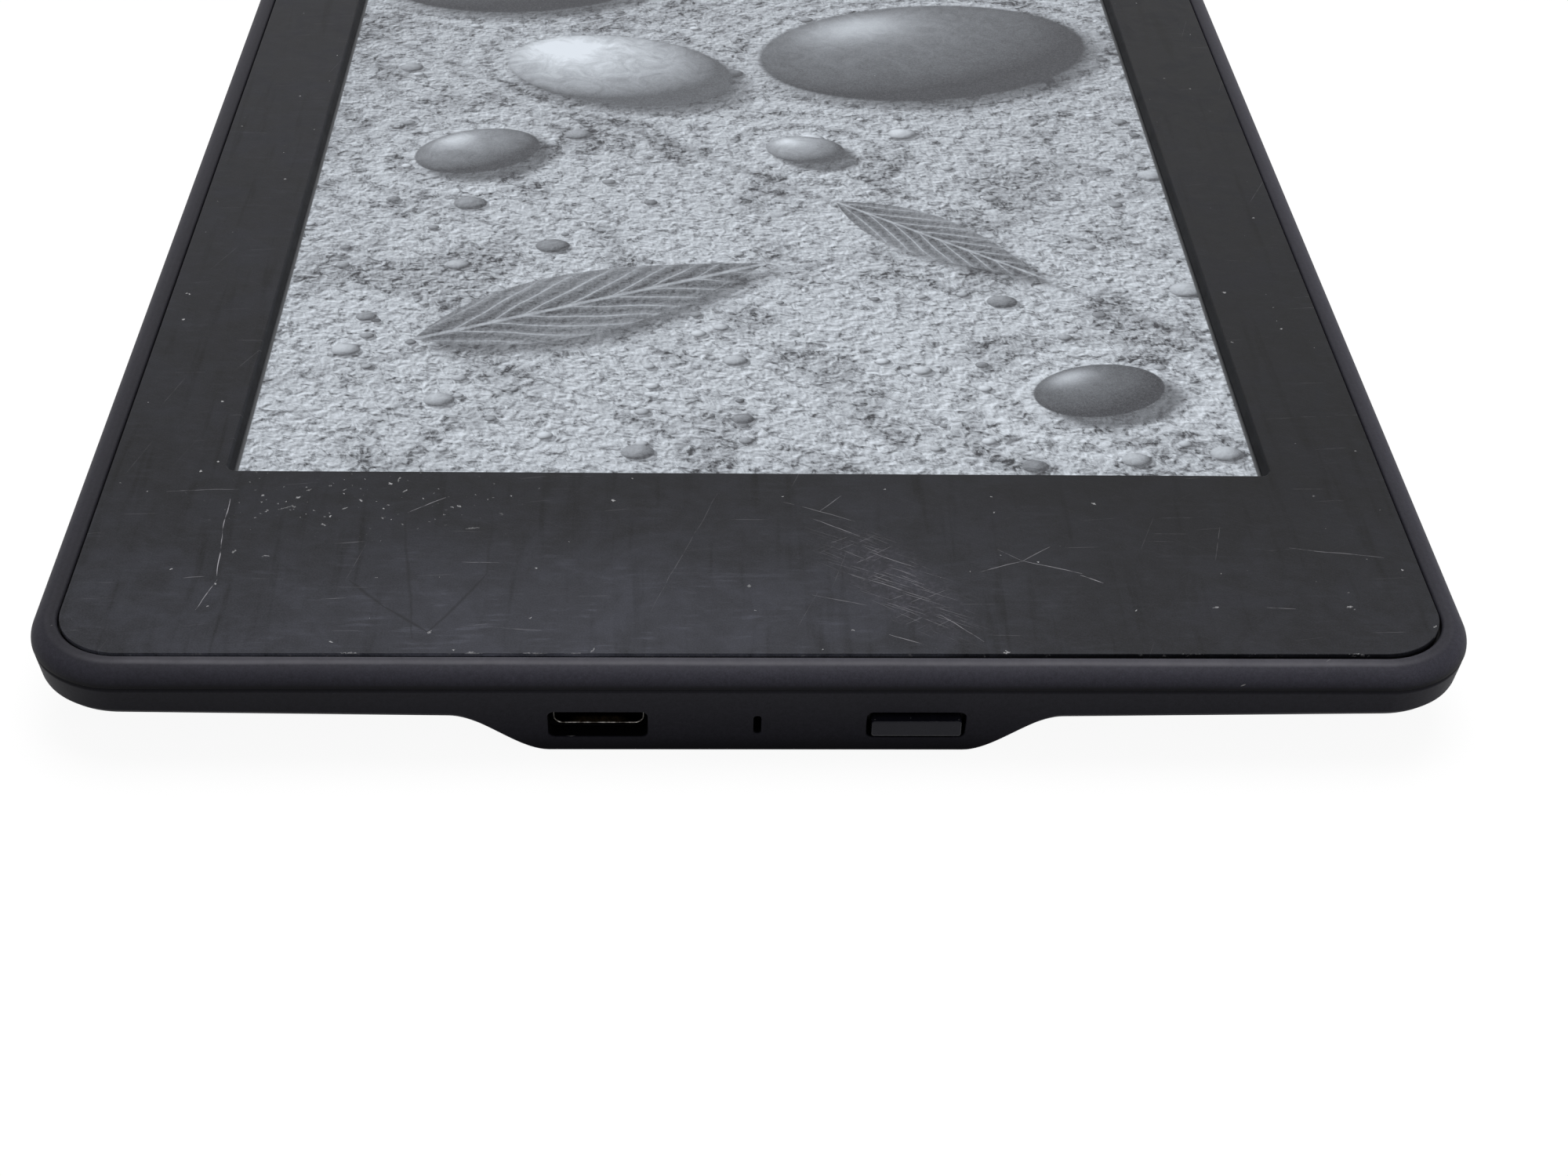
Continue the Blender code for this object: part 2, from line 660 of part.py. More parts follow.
def build_rear_cover():
    """The tub with the rolled rim, the tapered back, the screw bosses and the port openings."""

    def whole_section(land):
        return outer_section(land) + inner_section(land)

    cover = loft("rear_cover", skin_rings(whole_section))
    hole_radius = SCREW_SHANK_RADIUS + SCREW_HOLE_GAP
    hole_low = Z_CHASSIS_TOP - CHASSIS_SCREW_LENGTH - FIT_GAP
    places = chassis_screw_places()
    bosses = posts("cover_bosses", places, BOSS_RADIUS, 0.0, Z_CHASSIS - GLUE_GAP)
    envelope = loft("cover_envelope", skin_rings(outer_section, FLOOR_THICKNESS / 2))
    boolean(bosses, envelope, "INTERSECT")
    boolean(cover, bosses, "UNION")
    boolean(cover, posts("cover_pilot_holes", places, hole_radius, hole_low, Z_CHASSIS), "DIFFERENCE")
    openings = (
        ("usb_opening", -PORT_PITCH, PORT_OPENING_WIDTH, PORT_OPENING_HEIGHT, PORT_CORNER_RADIUS),
        ("button_opening", PORT_PITCH, PORT_OPENING_WIDTH, PORT_OPENING_HEIGHT, PORT_CORNER_RADIUS),
        ("status_opening", 0.0, STATUS_SLOT_WIDTH, STATUS_SLOT_HEIGHT, STATUS_SLOT_WIDTH / 2 - GLUE_GAP),
    )
    for opening in openings:
        boolean(cover, port_cutter(*opening), "DIFFERENCE")
    finish(cover, SOFT_BLACK)


def ring_points(half_x, half_y, radius, z, centre_y=0.0):
    loop = rounded_rectangle(half_x, half_y, radius, CORNER_STEPS, (0.0, centre_y))
    return [(x, y, z) for x, y in loop]


def clip_places():
    """(x, y, turn) of each snap clip's foot, with the turn that points its nose outward."""
    half_x = BODY_WIDTH / 2 - CLIP_INSET
    half_y = BODY_LENGTH / 2 - CLIP_INSET
    places = [(half_x, y, 0) for y in row(SIDE_CLIP_PITCH, SIDE_CLIP_COUNT)]
    places += [(-half_x, y, 180) for y in row(SIDE_CLIP_PITCH, SIDE_CLIP_COUNT)]
    places += [(x, half_y, 90) for x in row(TOP_CLIP_PITCH, TOP_CLIP_COUNT)]
    places += [(x, -half_y, 270) for x in row(BOTTOM_CLIP_PITCH, BOTTOM_CLIP_COUNT)]
    return places


def build_front_bezel():
    """The flat frame with its sloped screen aperture and the clips that catch under the cover's ledge."""
    outer = RIM_WIDTH + SEAM_GAP
    half_x = BODY_WIDTH / 2
    half_y = BODY_LENGTH / 2
    rings = []
    softened = BEZEL_EDGE_RADIUS * (1 - math.sqrt(0.5))
    for inset, z in (
        (outer, Z_BEZEL),
        (outer, Z_TOP - BEZEL_EDGE_RADIUS),
        (outer + softened, Z_TOP - softened),
        (outer + BEZEL_EDGE_RADIUS, Z_TOP),
    ):
        rings.append(ring_points(half_x - inset, half_y - inset, BODY_CORNER_RADIUS - inset, z))
    softened = APERTURE_EDGE_RADIUS * (1 - math.sqrt(0.5))
    for growth, z in (
        (APERTURE_EDGE_RADIUS, Z_TOP),
        (softened, Z_TOP - softened),
        (0.0, Z_TOP - APERTURE_EDGE_RADIUS),
        (-APERTURE_SLOPE, Z_BEZEL),
    ):
        side = SCREEN_BORDER + growth
        radius = APERTURE_CORNER_RADIUS + growth
        rings.append(
            ring_points(ACTIVE_HALF_WIDTH + side, ACTIVE_HALF_LENGTH + side, radius, z, ACTIVE_CENTRE_Y)
        )
    bezel = loft("front_bezel", rings, closed=True)
    nose_top = Z_LEDGE - FIT_GAP
    hook = [
        (0.0, Z_BEZEL + CLIP_ROOT),
        (-CLIP_THICKNESS, Z_BEZEL + CLIP_ROOT),
        (-CLIP_THICKNESS, nose_top - CLIP_NOSE),
        (0.0, nose_top - CLIP_NOSE),
        (CLIP_NOSE, nose_top),
        (0.0, nose_top),
    ]
    clips = []
    for x, y, turn in clip_places():
        clip = upright_plate("bezel_clip", [hook], -CLIP_WIDTH / 2, CLIP_WIDTH / 2, x, 0.0)
        clip.location.y = y
        clip.rotation_euler.z = math.radians(turn)
        clips.append(as_mesh(clip))
    boolean(bezel, gathered("bezel_clips", clips), "UNION")
    finish(bezel, BEZEL_BLACK)


def optics_layer(name, z_low, thickness, look):
    """A layer that covers the active area and its borders, down to the edge lights."""
    loop = rectangle(-PANEL_HALF_WIDTH, OPTICS_BOTTOM, PANEL_HALF_WIDTH, PANEL_TOP)
    finish(plate(name, [loop], z_low, z_low + thickness), look)


def build_display():
    """The film, touch sensor, light guide and e-paper panel, stacked in the chassis tray."""
    optics_layer("screen_film", Z_FILM, FILM_THICKNESS, SCREEN_GREY)
    optics_layer("touch_sensor", Z_TOUCH, TOUCH_THICKNESS, CLEAR_PLASTIC)
    optics_layer("light_guide", Z_LIGHT_GUIDE, LIGHT_GUIDE_THICKNESS, CLEAR_PLASTIC)
    loop = rectangle(-PANEL_HALF_WIDTH, PANEL_BOTTOM, PANEL_HALF_WIDTH, PANEL_TOP)
    finish(plate("e_paper_panel", [loop], Z_PANEL, Z_PANEL + PANEL_THICKNESS), PAPER_GREY)
    hole = SCREEN_BORDER + GASKET_SETBACK
    outside = rectangle(
        -PANEL_HALF_WIDTH + FIT_GAP,
        OPTICS_BOTTOM + FIT_GAP,
        PANEL_HALF_WIDTH - FIT_GAP,
        PANEL_TOP - FIT_GAP,
    )
    inside = rectangle(
        -ACTIVE_HALF_WIDTH - hole,
        ACTIVE_BOTTOM - hole,
        ACTIVE_HALF_WIDTH + hole,
        ACTIVE_TOP + hole,
    )
    gasket = plate("screen_gasket", [outside, inside], Z_GASKET, Z_GASKET + GASKET_THICKNESS)
    finish(gasket, FOAM_BLACK)


def build_edge_lights():
    """White LEDs in a row that shine into the lower edge of the light guide, hung from a flexible strip."""
    led_y = OPTICS_BOTTOM - SLIDE_GAP
    z_high = Z_LIGHT_GUIDE + LIGHT_GUIDE_THICKNESS
    for number, step in enumerate(row(LED_PITCH, LED_COUNT)):
        x = STRIP_CENTRE_X + step
        led = centred_box(
            f"edge_led_{number + 1}", x, LED_WIDTH, led_y - LED_DEPTH, led_y, Z_LIGHT_GUIDE, z_high
        )
        finish(led, LED_YELLOW)
    z_low = z_high + GLUE_GAP
    strip = centred_box(
        "light_strip",
        STRIP_CENTRE_X,
        STRIP_LENGTH,
        led_y - STRIP_DEPTH,
        led_y,
        z_low,
        z_low + STRIP_THICKNESS,
    )
    finish(strip, RIBBON_AMBER)


def ribbon_list():
    """(name, x, width, start y, start height) of each ribbon cable."""
    strip_z = Z_LIGHT_GUIDE + LIGHT_GUIDE_THICKNESS + GLUE_GAP + STRIP_THICKNESS / 2
    strip_y = OPTICS_BOTTOM - SLIDE_GAP - STRIP_DEPTH - SLIDE_GAP
    panel_z = Z_PANEL + PANEL_THICKNESS / 2
    touch_z = Z_TOUCH + TOUCH_THICKNESS / 2
    return (
        ("display", DISPLAY_RIBBON_X, DISPLAY_RIBBON_WIDTH, PANEL_BOTTOM - SLIDE_GAP, panel_z),
        ("touch", TOUCH_RIBBON_X, TOUCH_RIBBON_WIDTH, OPTICS_BOTTOM - SLIDE_GAP, touch_z),
        ("light", LIGHT_RIBBON_X, LIGHT_RIBBON_WIDTH, strip_y, strip_z),
    )


def ribbon_end_height():
    return Z_BOARD_TOP + GLUE_GAP + CONNECTOR_HEIGHT / 2


def build_ribbons():
    """Each ribbon leaves its layer, turns round the edge of the chassis and ends in its connector."""
    end_z = ribbon_end_height()
    half = RIBBON_THICKNESS / 2
    for name, x, width, start_y, start_z in ribbon_list():
        bend = (start_z - end_z) / 2
        middle = (start_z + end_z) / 2
        outside = arc(RIBBON_TURN_Y, middle, bend + half, 90, 270, ROUND_STEPS)
        inside = arc(RIBBON_TURN_Y, middle, bend - half, 270, 90, ROUND_STEPS)
        end_y = CONNECTOR_Y - SLIDE_GAP
        loop = [(start_y, start_z + half)] + outside + [(end_y, end_z - half)]
        loop += [(end_y, end_z + half)] + inside + [(start_y, start_z - half)]
        finish(side_profile(f"{name}_ribbon", loop, x, width), RIBBON_AMBER)
        connector = centred_box(
            f"{name}_connector",
            x,
            width + 2 * CONNECTOR_END,
            CONNECTOR_Y,
            CONNECTOR_Y + CONNECTOR_DEPTH,
            Z_BOARD_TOP + GLUE_GAP,
            Z_BOARD_TOP + GLUE_GAP + CONNECTOR_HEIGHT,
        )
        finish(connector, DARK_PLASTIC)


def board_screw_places():
    x = BOARD_WIDTH / 2 - BOARD_SCREW_INSET
    low = BOARD_STEP_Y + BOARD_SCREW_INSET
    high = BOARD_BACK_Y - BOARD_SCREW_INSET
    return [(sign * x, y) for y in (low, high) for sign in (-1, 1)]


def battery_screw_places():
    y = BOARD_BACK_Y - BATTERY_BOARD_LAP / 2
    return [(sign * BATTERY_SCREW_PITCH / 2, y) for sign in (-1, 1)]


def build_chassis():
    """The cast frame: a plate with a display tray, ribbon slots, screw holes and posts for the board."""
    half_x = BODY_WIDTH / 2 - CHASSIS_INSET
    half_y = BODY_LENGTH / 2 - CHASSIS_INSET
    radius = max(BODY_CORNER_RADIUS - CHASSIS_INSET, FIT_GAP)
    loops = [rounded_rectangle(half_x, half_y, radius, CORNER_STEPS)]
    hole = SCREW_SHANK_RADIUS + SCREW_HOLE_GAP
    loops += [circle(x, y, hole) for x, y in chassis_screw_places()]
    for _, x, width, _, start_z in ribbon_list():
        bend = (start_z - ribbon_end_height()) / 2 + RIBBON_THICKNESS
        side = width / 2 + FIT_GAP
        slot_low = RIBBON_TURN_Y - bend - 2 * FIT_GAP
        loops.append(rectangle(x - side, slot_low, x + side, RIBBON_TURN_Y + FIT_GAP))
    chassis = as_mesh(plate("chassis", loops, Z_CHASSIS, Z_CHASSIS_TOP))
    inner_x = PANEL_HALF_WIDTH + FIT_GAP
    inner_y = PANEL_TOP + FIT_GAP
    outer_x = inner_x + TRAY_WALL
    outer_y = inner_y + TRAY_WALL
    tray = [
        (-outer_x, PANEL_BOTTOM),
        (-inner_x, PANEL_BOTTOM),
        (-inner_x, inner_y),
        (inner_x, inner_y),
        (inner_x, PANEL_BOTTOM),
        (outer_x, PANEL_BOTTOM),
        (outer_x, outer_y),
        (-outer_x, outer_y),
    ]
    root = CHASSIS_THICKNESS / 2
    rail = plate("chassis_tray_wall", [tray], Z_CHASSIS_TOP - root, Z_CHASSIS_TOP + TRAY_HEIGHT)
    boolean(chassis, as_mesh(rail), "UNION")
    places = board_screw_places()
    post_low = Z_BOARD_TOP + GLUE_GAP
    boolean(chassis, posts("board_posts", places, POST_RADIUS, post_low, Z_CHASSIS + root), "UNION")
    hole_high = Z_BOARD + BOARD_SCREW_LENGTH + FIT_GAP
    hole_low = post_low - FIT_GAP
    boolean(chassis, posts("board_post_holes", places, hole, hole_low, hole_high), "DIFFERENCE")
    finish(chassis, MAGNESIUM)


def build_battery():
    """The pouch cell, the tape that holds it under the chassis, and its board with two screws."""
    half = BATTERY_WIDTH / 2
    top_y = BATTERY_Y + BATTERY_LENGTH
    cell = centred_box(
        "battery_cell", 0.0, BATTERY_WIDTH, BATTERY_Y, top_y, Z_BATTERY, Z_BATTERY + BATTERY_THICKNESS
    )
    bevel(cell, BATTERY_EDGE_RADIUS)
    finish(cell, POUCH_SILVER)
    margin = 2 * BATTERY_EDGE_RADIUS
    tape = rectangle(-half + margin, BATTERY_Y + margin, half - margin, top_y - margin)
    finish(plate("battery_tape", [tape], Z_TAPE, Z_TAPE + TAPE_THICKNESS), TAPE_WHITE)
    low_y = BOARD_BACK_Y - BATTERY_BOARD_LAP
    side = BATTERY_BOARD_WIDTH / 2
    loops = [rectangle(-side, low_y, side, low_y + BATTERY_BOARD_LENGTH)]
    loops += [circle(x, y, SCREW_SHANK_RADIUS + SCREW_HOLE_GAP) for x, y in battery_screw_places()]
    z_high = Z_BOARD - GLUE_GAP
    finish(plate("battery_board", loops, z_high - BOARD_THICKNESS, z_high), CIRCUIT_GREEN)


def build_main_board():
    """The circuit board: a wide part, a tongue to the ports, notches for the two parts set into it."""
    half = BOARD_WIDTH / 2
    tongue = LAND_HALF + TONGUE_MARGIN
    edge = BOARD_EDGE_Y
    step = BOARD_STEP_Y
    usb_left = -PORT_PITCH - USB_WIDTH / 2 - FIT_GAP
    usb_right = -PORT_PITCH + USB_WIDTH / 2 + FIT_GAP
    usb_back = USB_Y + USB_DEPTH + FIT_GAP
    switch_left = PORT_PITCH - SWITCH_WIDTH / 2 - FIT_GAP
    switch_right = PORT_PITCH + SWITCH_WIDTH / 2 + FIT_GAP
    switch_back = SWITCH_Y + SWITCH_DEPTH + FIT_GAP
    loop = [
        (-tongue, edge),
        (usb_left, edge),
        (usb_left, usb_back),
        (usb_right, usb_back),
        (usb_right, edge),
        (switch_left, edge),
        (switch_left, switch_back),
        (switch_right, switch_back),
        (switch_right, edge),
        (tongue, edge),
        (tongue, step),
    ]
    corner = BOARD_CORNER_RADIUS
    loop += arc(half - corner, step + corner, corner, -90, 0, SMALL_CORNER_STEPS)
    loop += arc(half - corner, BOARD_BACK_Y - corner, corner, 0, 90, SMALL_CORNER_STEPS)
    loop += arc(-half + corner, BOARD_BACK_Y - corner, corner, 90, 180, SMALL_CORNER_STEPS)
    loop += arc(-half + corner, step + corner, corner, 180, 270, SMALL_CORNER_STEPS)
    loop.append((-tongue, step))
    places = board_screw_places() + battery_screw_places()
    holes = [circle(x, y, SCREW_SHANK_RADIUS + SCREW_HOLE_GAP) for x, y in places]
    finish(plate("main_board", [loop] + holes, Z_BOARD, Z_BOARD_TOP), CIRCUIT_GREEN)


def chip(name, x, y, size_x, size_y):
    """A flat package on the underside of the board."""
    z_high = Z_BOARD - GLUE_GAP
    low = (x - size_x / 2, y - size_y / 2, z_high - CHIP_HEIGHT)
    high = (x + size_x / 2, y + size_y / 2, z_high)
    finish(box(name, low, high), CHIP_BLACK)


def shield(name, x, y, size_x, size_y):
    """A thin metal can, open towards the board, that covers a group of chips."""
    z_high = Z_BOARD - GLUE_GAP
    bm = bmesh.new()
    bmesh.ops.create_cube(bm, size=1.0)
    bmesh.ops.scale(bm, vec=(size_x, size_y, SHIELD_HEIGHT), verts=bm.verts)
    top = [face for face in bm.faces if face.normal.z > 0.5]
    bmesh.ops.delete(bm, geom=top, context="FACES_ONLY")
    mesh = bpy.data.meshes.new(name)
    bm.to_mesh(mesh)
    bm.free()
    can = bpy.data.objects.new(name, mesh)
    PARTS.objects.link(can)
    can.location = (x, y, z_high - SHIELD_HEIGHT / 2)
    wall = can.modifiers.new("sheet", "SOLIDIFY")
    wall.thickness = SHIELD_WALL
    wall.offset = -1.0
    wall.use_even_offset = True
    finish(can, STEEL)


def build_board_parts():
    """Chips in a row under the board, the shields over two groups of them, the sensor and the antenna."""
    low_row = BOARD_STEP_Y + CHIP_ROW_SETBACK
    margin = 2 * (SHIELD_WALL + SHIELD_GAP)
    pair_width = PROCESSOR_SIZE + CHIP_SPACING + MEMORY_SIZE
    pair_x = -pair_width / 2 - CHIP_SPACING
    processor_x = pair_x - pair_width / 2 + PROCESSOR_SIZE / 2
    memory_x = pair_x + pair_width / 2 - MEMORY_SIZE / 2
    chip("processor", processor_x, low_row, PROCESSOR_SIZE, PROCESSOR_SIZE)
    chip("memory_chip", memory_x, low_row, MEMORY_SIZE, MEMORY_SIZE)
    shield("processor_shield", pair_x, low_row, pair_width + margin, PROCESSOR_SIZE + margin)
    storage_x = CHIP_SPACING + STORAGE_SIZE / 2
    power_x = storage_x + STORAGE_SIZE / 2 + CHIP_SPACING + POWER_CHIP_SIZE / 2
    chip("storage_chip", storage_x, low_row, STORAGE_SIZE, STORAGE_SIZE)
    chip("power_chip", power_x, low_row, POWER_CHIP_SIZE, POWER_CHIP_SIZE)
    radio_x = power_x + POWER_CHIP_SIZE / 2 + CHIP_SPACING + margin / 2 + RADIO_SIZE / 2
    chip("radio_chip", radio_x, low_row, RADIO_SIZE, RADIO_SIZE)
    shield("radio_shield", radio_x, low_row, RADIO_SIZE + margin, RADIO_SIZE + margin)
    beside = BATTERY_BOARD_WIDTH / 2 + CHIP_SPACING
    chip("cover_sensor", -beside - SENSOR_SIZE / 2, BOARD_BACK_Y - SENSOR_SIZE, SENSOR_SIZE, SENSOR_SIZE)
    antenna_y = BOARD_BACK_Y - ANTENNA_DEPTH
    antenna_x = beside + ANTENNA_LENGTH / 2
    z_high = Z_BOARD - GLUE_GAP
    antenna = centred_box(
        "radio_antenna", antenna_x, ANTENNA_LENGTH, antenna_y, BOARD_BACK_Y, z_high - CHIP_HEIGHT, z_high
    )
    finish(antenna, GOLD)


def socket_outline(half_x, half_z, chamfer):
    """The mouth of the charging socket: square above, chamfered below."""
    return [
        (-half_x + chamfer, -half_z),
        (half_x - chamfer, -half_z),
        (half_x, -half_z + chamfer),
        (half_x, half_z),
        (-half_x, half_z),
        (-half_x, -half_z + chamfer),
    ]


def build_usb_socket():
    """The metal socket set into the board's edge, and the insert that carries its contacts."""
    half_x = USB_WIDTH / 2
    half_z = USB_HEIGHT / 2
    back_y = USB_Y + USB_DEPTH
    outside = socket_outline(half_x, half_z, USB_CHAMFER)
    inner_x = half_x - USB_WALL
    inner_z = half_z - USB_WALL
    inside = socket_outline(inner_x, inner_z, USB_CHAMFER)
    shell = upright_plate("usb_shell", [outside, inside], USB_Y, back_y, -PORT_PITCH, Z_PORT)
    finish(shell, STEEL)
    fill = socket_outline(inner_x - GLUE_GAP, inner_z - GLUE_GAP, USB_CHAMFER)
    base_y = back_y - USB_BASE_DEPTH
    insert = as_mesh(upright_plate("usb_insert", [fill], base_y, back_y, -PORT_PITCH, Z_PORT))
    blade = centred_box(
        "usb_blade",
        -PORT_PITCH,
        TONGUE_WIDTH,
        USB_Y + TONGUE_SETBACK,
        base_y + USB_BASE_DEPTH / 2,
        Z_PORT - TONGUE_THICKNESS / 2,
        Z_PORT + TONGUE_THICKNESS / 2,
    )
    boolean(insert, blade, "UNION")
    finish(insert, DARK_PLASTIC)


def build_status_light():
    """A light pipe behind the slot in the wall, lit by an LED on the board's edge."""
    width = STATUS_SLOT_WIDTH - SLIDE_GAP
    height = STATUS_SLOT_HEIGHT - 2 * SLIDE_GAP
    back = FLANGE_Y + PIPE_FLANGE
    pipe = centred_box(
        "status_light_pipe",
        0.0,
        width,
        WALL_Y + PIPE_RECESS,
        back - PIPE_FLANGE / 2,
        Z_PORT - height / 2,
        Z_PORT + height / 2,
    )
    flange = centred_box(
        "status_pipe_flange",
        0.0,
        STATUS_SLOT_WIDTH + 2 * PIPE_FLANGE_OVERHANG,
        FLANGE_Y,
        back,
        Z_PORT - height / 2 + FIT_GAP,
        Z_PORT + height / 2 - FIT_GAP,
    )
    boolean(pipe, flange, "UNION")
    finish(pipe, CLEAR_PLASTIC)
    led = centred_box(
        "status_led",
        0.0,
        2 * STATUS_LED_SIZE,
        BOARD_EDGE_Y,
        BOARD_EDGE_Y + STATUS_LED_SIZE,
        Z_BOARD_TOP + GLUE_GAP,
        Z_BOARD_TOP + GLUE_GAP + STATUS_LED_SIZE,
    )
    finish(led, LED_YELLOW)


def build_power_button():
    """The sliding button, with ears that stop it behind the wall, and the switch that it presses."""
    front = WALL_Y - BUTTON_PROUD
    half = BUTTON_WIDTH / 2
    ear = PORT_OPENING_WIDTH / 2 + BUTTON_EAR
    nub = BUTTON_NUB_WIDTH / 2
    nub_back = FLANGE_BACK_Y + BUTTON_NUB_LENGTH
    outline = [
        (-half, front),
        (half, front),
        (half, FLANGE_Y),
        (ear, FLANGE_Y),
        (ear, FLANGE_BACK_Y),
        (nub, FLANGE_BACK_Y),
        (nub, nub_back),
        (-nub, nub_back),
        (-nub, FLANGE_BACK_Y),
        (-ear, FLANGE_BACK_Y),
        (-ear, FLANGE_Y),
        (-half, FLANGE_Y),
    ]
    local = [(x, y - WALL_Y) for x, y in outline]
    button = as_mesh(plate("power_button", [local], -BUTTON_HEIGHT / 2, BUTTON_HEIGHT / 2))
    button.location = (PORT_PITCH, WALL_Y, Z_PORT)
    bevel(button, BUTTON_EDGE_RADIUS, 1)
    finish(button, GLOSS_BLACK)
    body = centred_box(
        "power_switch",
        PORT_PITCH,
        SWITCH_WIDTH,
        SWITCH_Y,
        SWITCH_Y + SWITCH_DEPTH,
        Z_PORT - SWITCH_HEIGHT / 2,
        Z_PORT + SWITCH_HEIGHT / 2,
    )
    pocket_depth = PLUNGER_ROOT + BUTTON_TRAVEL + SLIDE_GAP
    pocket = centred_box(
        "switch_pocket",
        PORT_PITCH,
        PLUNGER_WIDTH + 2 * SLIDE_GAP,
        SWITCH_Y - FIT_GAP,
        SWITCH_Y + pocket_depth,
        Z_PORT - PLUNGER_HEIGHT / 2 - SLIDE_GAP,
        Z_PORT + PLUNGER_HEIGHT / 2 + SLIDE_GAP,
    )
    boolean(body, pocket, "DIFFERENCE")
    finish(body, DARK_PLASTIC)
    plunger = centred_box(
        "switch_plunger",
        PORT_PITCH,
        PLUNGER_WIDTH,
        PLUNGER_Y,
        SWITCH_Y + PLUNGER_ROOT,
        Z_PORT - PLUNGER_HEIGHT / 2,
        Z_PORT + PLUNGER_HEIGHT / 2,
    )
    finish(plunger, DARK_PLASTIC)


def screw_profile(length):
    """Pan head above the seat at height 0, shank below it."""
    head = SCREW_HEAD_RADIUS
    crown = SCREW_HEAD_HEIGHT
    return [
        (0.0, crown),
        (head - SCREW_CROWN_CHAMFER, crown),
        (head, crown - SCREW_CROWN_DROP),
        (head, 0.0),
        (SCREW_SHANK_RADIUS, 0.0),
        (SCREW_SHANK_RADIUS, -length + SCREW_SHANK_RADIUS / 2),
        (SCREW_SHANK_RADIUS / 2, -length),
        (0.0, -length),
    ]


def build_screws():
    """Chassis screws go down into the cover's bosses. Board and battery screws go up from below."""
    groups = (
        ("chassis_screw", chassis_screw_places(), CHASSIS_SCREW_LENGTH, Z_CHASSIS_TOP + GLUE_GAP, 0),
        ("board_screw", board_screw_places(), BOARD_SCREW_LENGTH, Z_BOARD - GLUE_GAP, 180),
        (
            "battery_screw",
            battery_screw_places(),
            BATTERY_SCREW_LENGTH,
            Z_BOARD - BOARD_THICKNESS - 2 * GLUE_GAP,
            180,
        ),
    )
    for name, places, length, seat, turn in groups:
        for number, (x, y) in enumerate(places):
            screw = turned(f"{name}_{number + 1}", screw_profile(length), (x, y, seat))
            screw.rotation_euler.x = math.radians(turn)
            finish(screw, SCREW_STEEL)


def main():
    build_rear_cover()
    build_front_bezel()
    build_display()
    build_edge_lights()
    build_ribbons()
    build_chassis()
    build_battery()
    build_main_board()
    build_board_parts()
    build_usb_socket()
    build_status_light()
    build_power_button()
    build_screws()


main()
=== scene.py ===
"""The look of an e-reader that lies on its back: smooth casings, the page, the ports, wear and studio light.

Metres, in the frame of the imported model: +X is the reader's right side, +Y its top edge, +Z is up.
Materials work in millimetres of the same frame.
"""

import json
import math

import bmesh
import bpy
from mathutils import Matrix, Vector
from mathutils.bvhtree import BVHTree


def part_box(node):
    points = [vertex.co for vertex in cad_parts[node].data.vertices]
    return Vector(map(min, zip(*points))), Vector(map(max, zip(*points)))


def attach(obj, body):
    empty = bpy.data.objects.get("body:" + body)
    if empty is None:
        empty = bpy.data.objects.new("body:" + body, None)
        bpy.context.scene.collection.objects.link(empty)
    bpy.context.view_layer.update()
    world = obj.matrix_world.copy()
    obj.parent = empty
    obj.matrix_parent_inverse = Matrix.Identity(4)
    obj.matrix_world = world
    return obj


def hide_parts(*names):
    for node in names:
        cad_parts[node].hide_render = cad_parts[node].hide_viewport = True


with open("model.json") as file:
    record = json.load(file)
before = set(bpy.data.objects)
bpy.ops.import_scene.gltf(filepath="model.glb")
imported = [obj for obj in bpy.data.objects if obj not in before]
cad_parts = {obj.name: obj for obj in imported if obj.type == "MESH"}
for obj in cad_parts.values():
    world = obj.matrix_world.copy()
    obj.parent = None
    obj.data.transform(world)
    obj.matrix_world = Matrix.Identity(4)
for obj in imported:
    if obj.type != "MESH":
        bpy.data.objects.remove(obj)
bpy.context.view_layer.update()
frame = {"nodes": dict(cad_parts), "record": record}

MM = 0.001

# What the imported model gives: the casing's outline and heights, the film, and the places of the ports.
_, COVER_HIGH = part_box("rear_cover")
_, BEZEL_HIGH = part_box("front_bezel")
FILM_LOW, FILM_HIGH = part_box("screen_film")
SOCKET_LOW, SOCKET_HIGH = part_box("usb_shell")
INSERT_LOW, INSERT_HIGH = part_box("usb_insert")
BUTTON_LOW, BUTTON_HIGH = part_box("power_button")
HALF_WIDTH = COVER_HIGH.x
HALF_LENGTH = COVER_HIGH.y
Z_RIM = COVER_HIGH.z
Z_TOP = BEZEL_HIGH.z
SOCKET_X = (SOCKET_LOW.x + SOCKET_HIGH.x) / 2
BUTTON_X = (BUTTON_LOW.x + BUTTON_HIGH.x) / 2
Z_PORT = (SOCKET_LOW.z + SOCKET_HIGH.z) / 2

# Rear cover: the rolled rim, the groove under it, the slanted wall and the tapered back.
BODY_CORNER_RADIUS = 8.0 * MM
RIM_WIDTH = 2.25 * MM
LIP_RADIUS = 0.3 * MM
CREASE_DROP = 1.7 * MM
EDGE_DROP = 4.53 * MM
EDGE_RADIUS = 0.4 * MM
WALL_SLANT = 0.145
COVER_WALL = 1.3 * MM
FLOOR_THICKNESS = 1.1 * MM
BACK_TAPER = 16.0 * MM
BACK_CORNER_RADIUS = 4.0 * MM
LEDGE_WIDTH = 1.0 * MM
LEDGE_THICKNESS = 0.8 * MM
SEAT_DROP = 0.95 * MM
LAND_HALF = 16.8 * MM
LAND_SLOPE = 7.9 * MM
EDGE_SAG = 0.09
GROOVE_HEIGHT = 0.5 * MM
GROOVE_DEPTH = 0.16 * MM
GROOVE_SKEW = 1.6
BOSS_COUNT = 10
BOSS_RADIUS = 1.8 * MM
BOSS_CHAMFER = 0.25 * MM
BOSS_RISE = 1.4 * MM
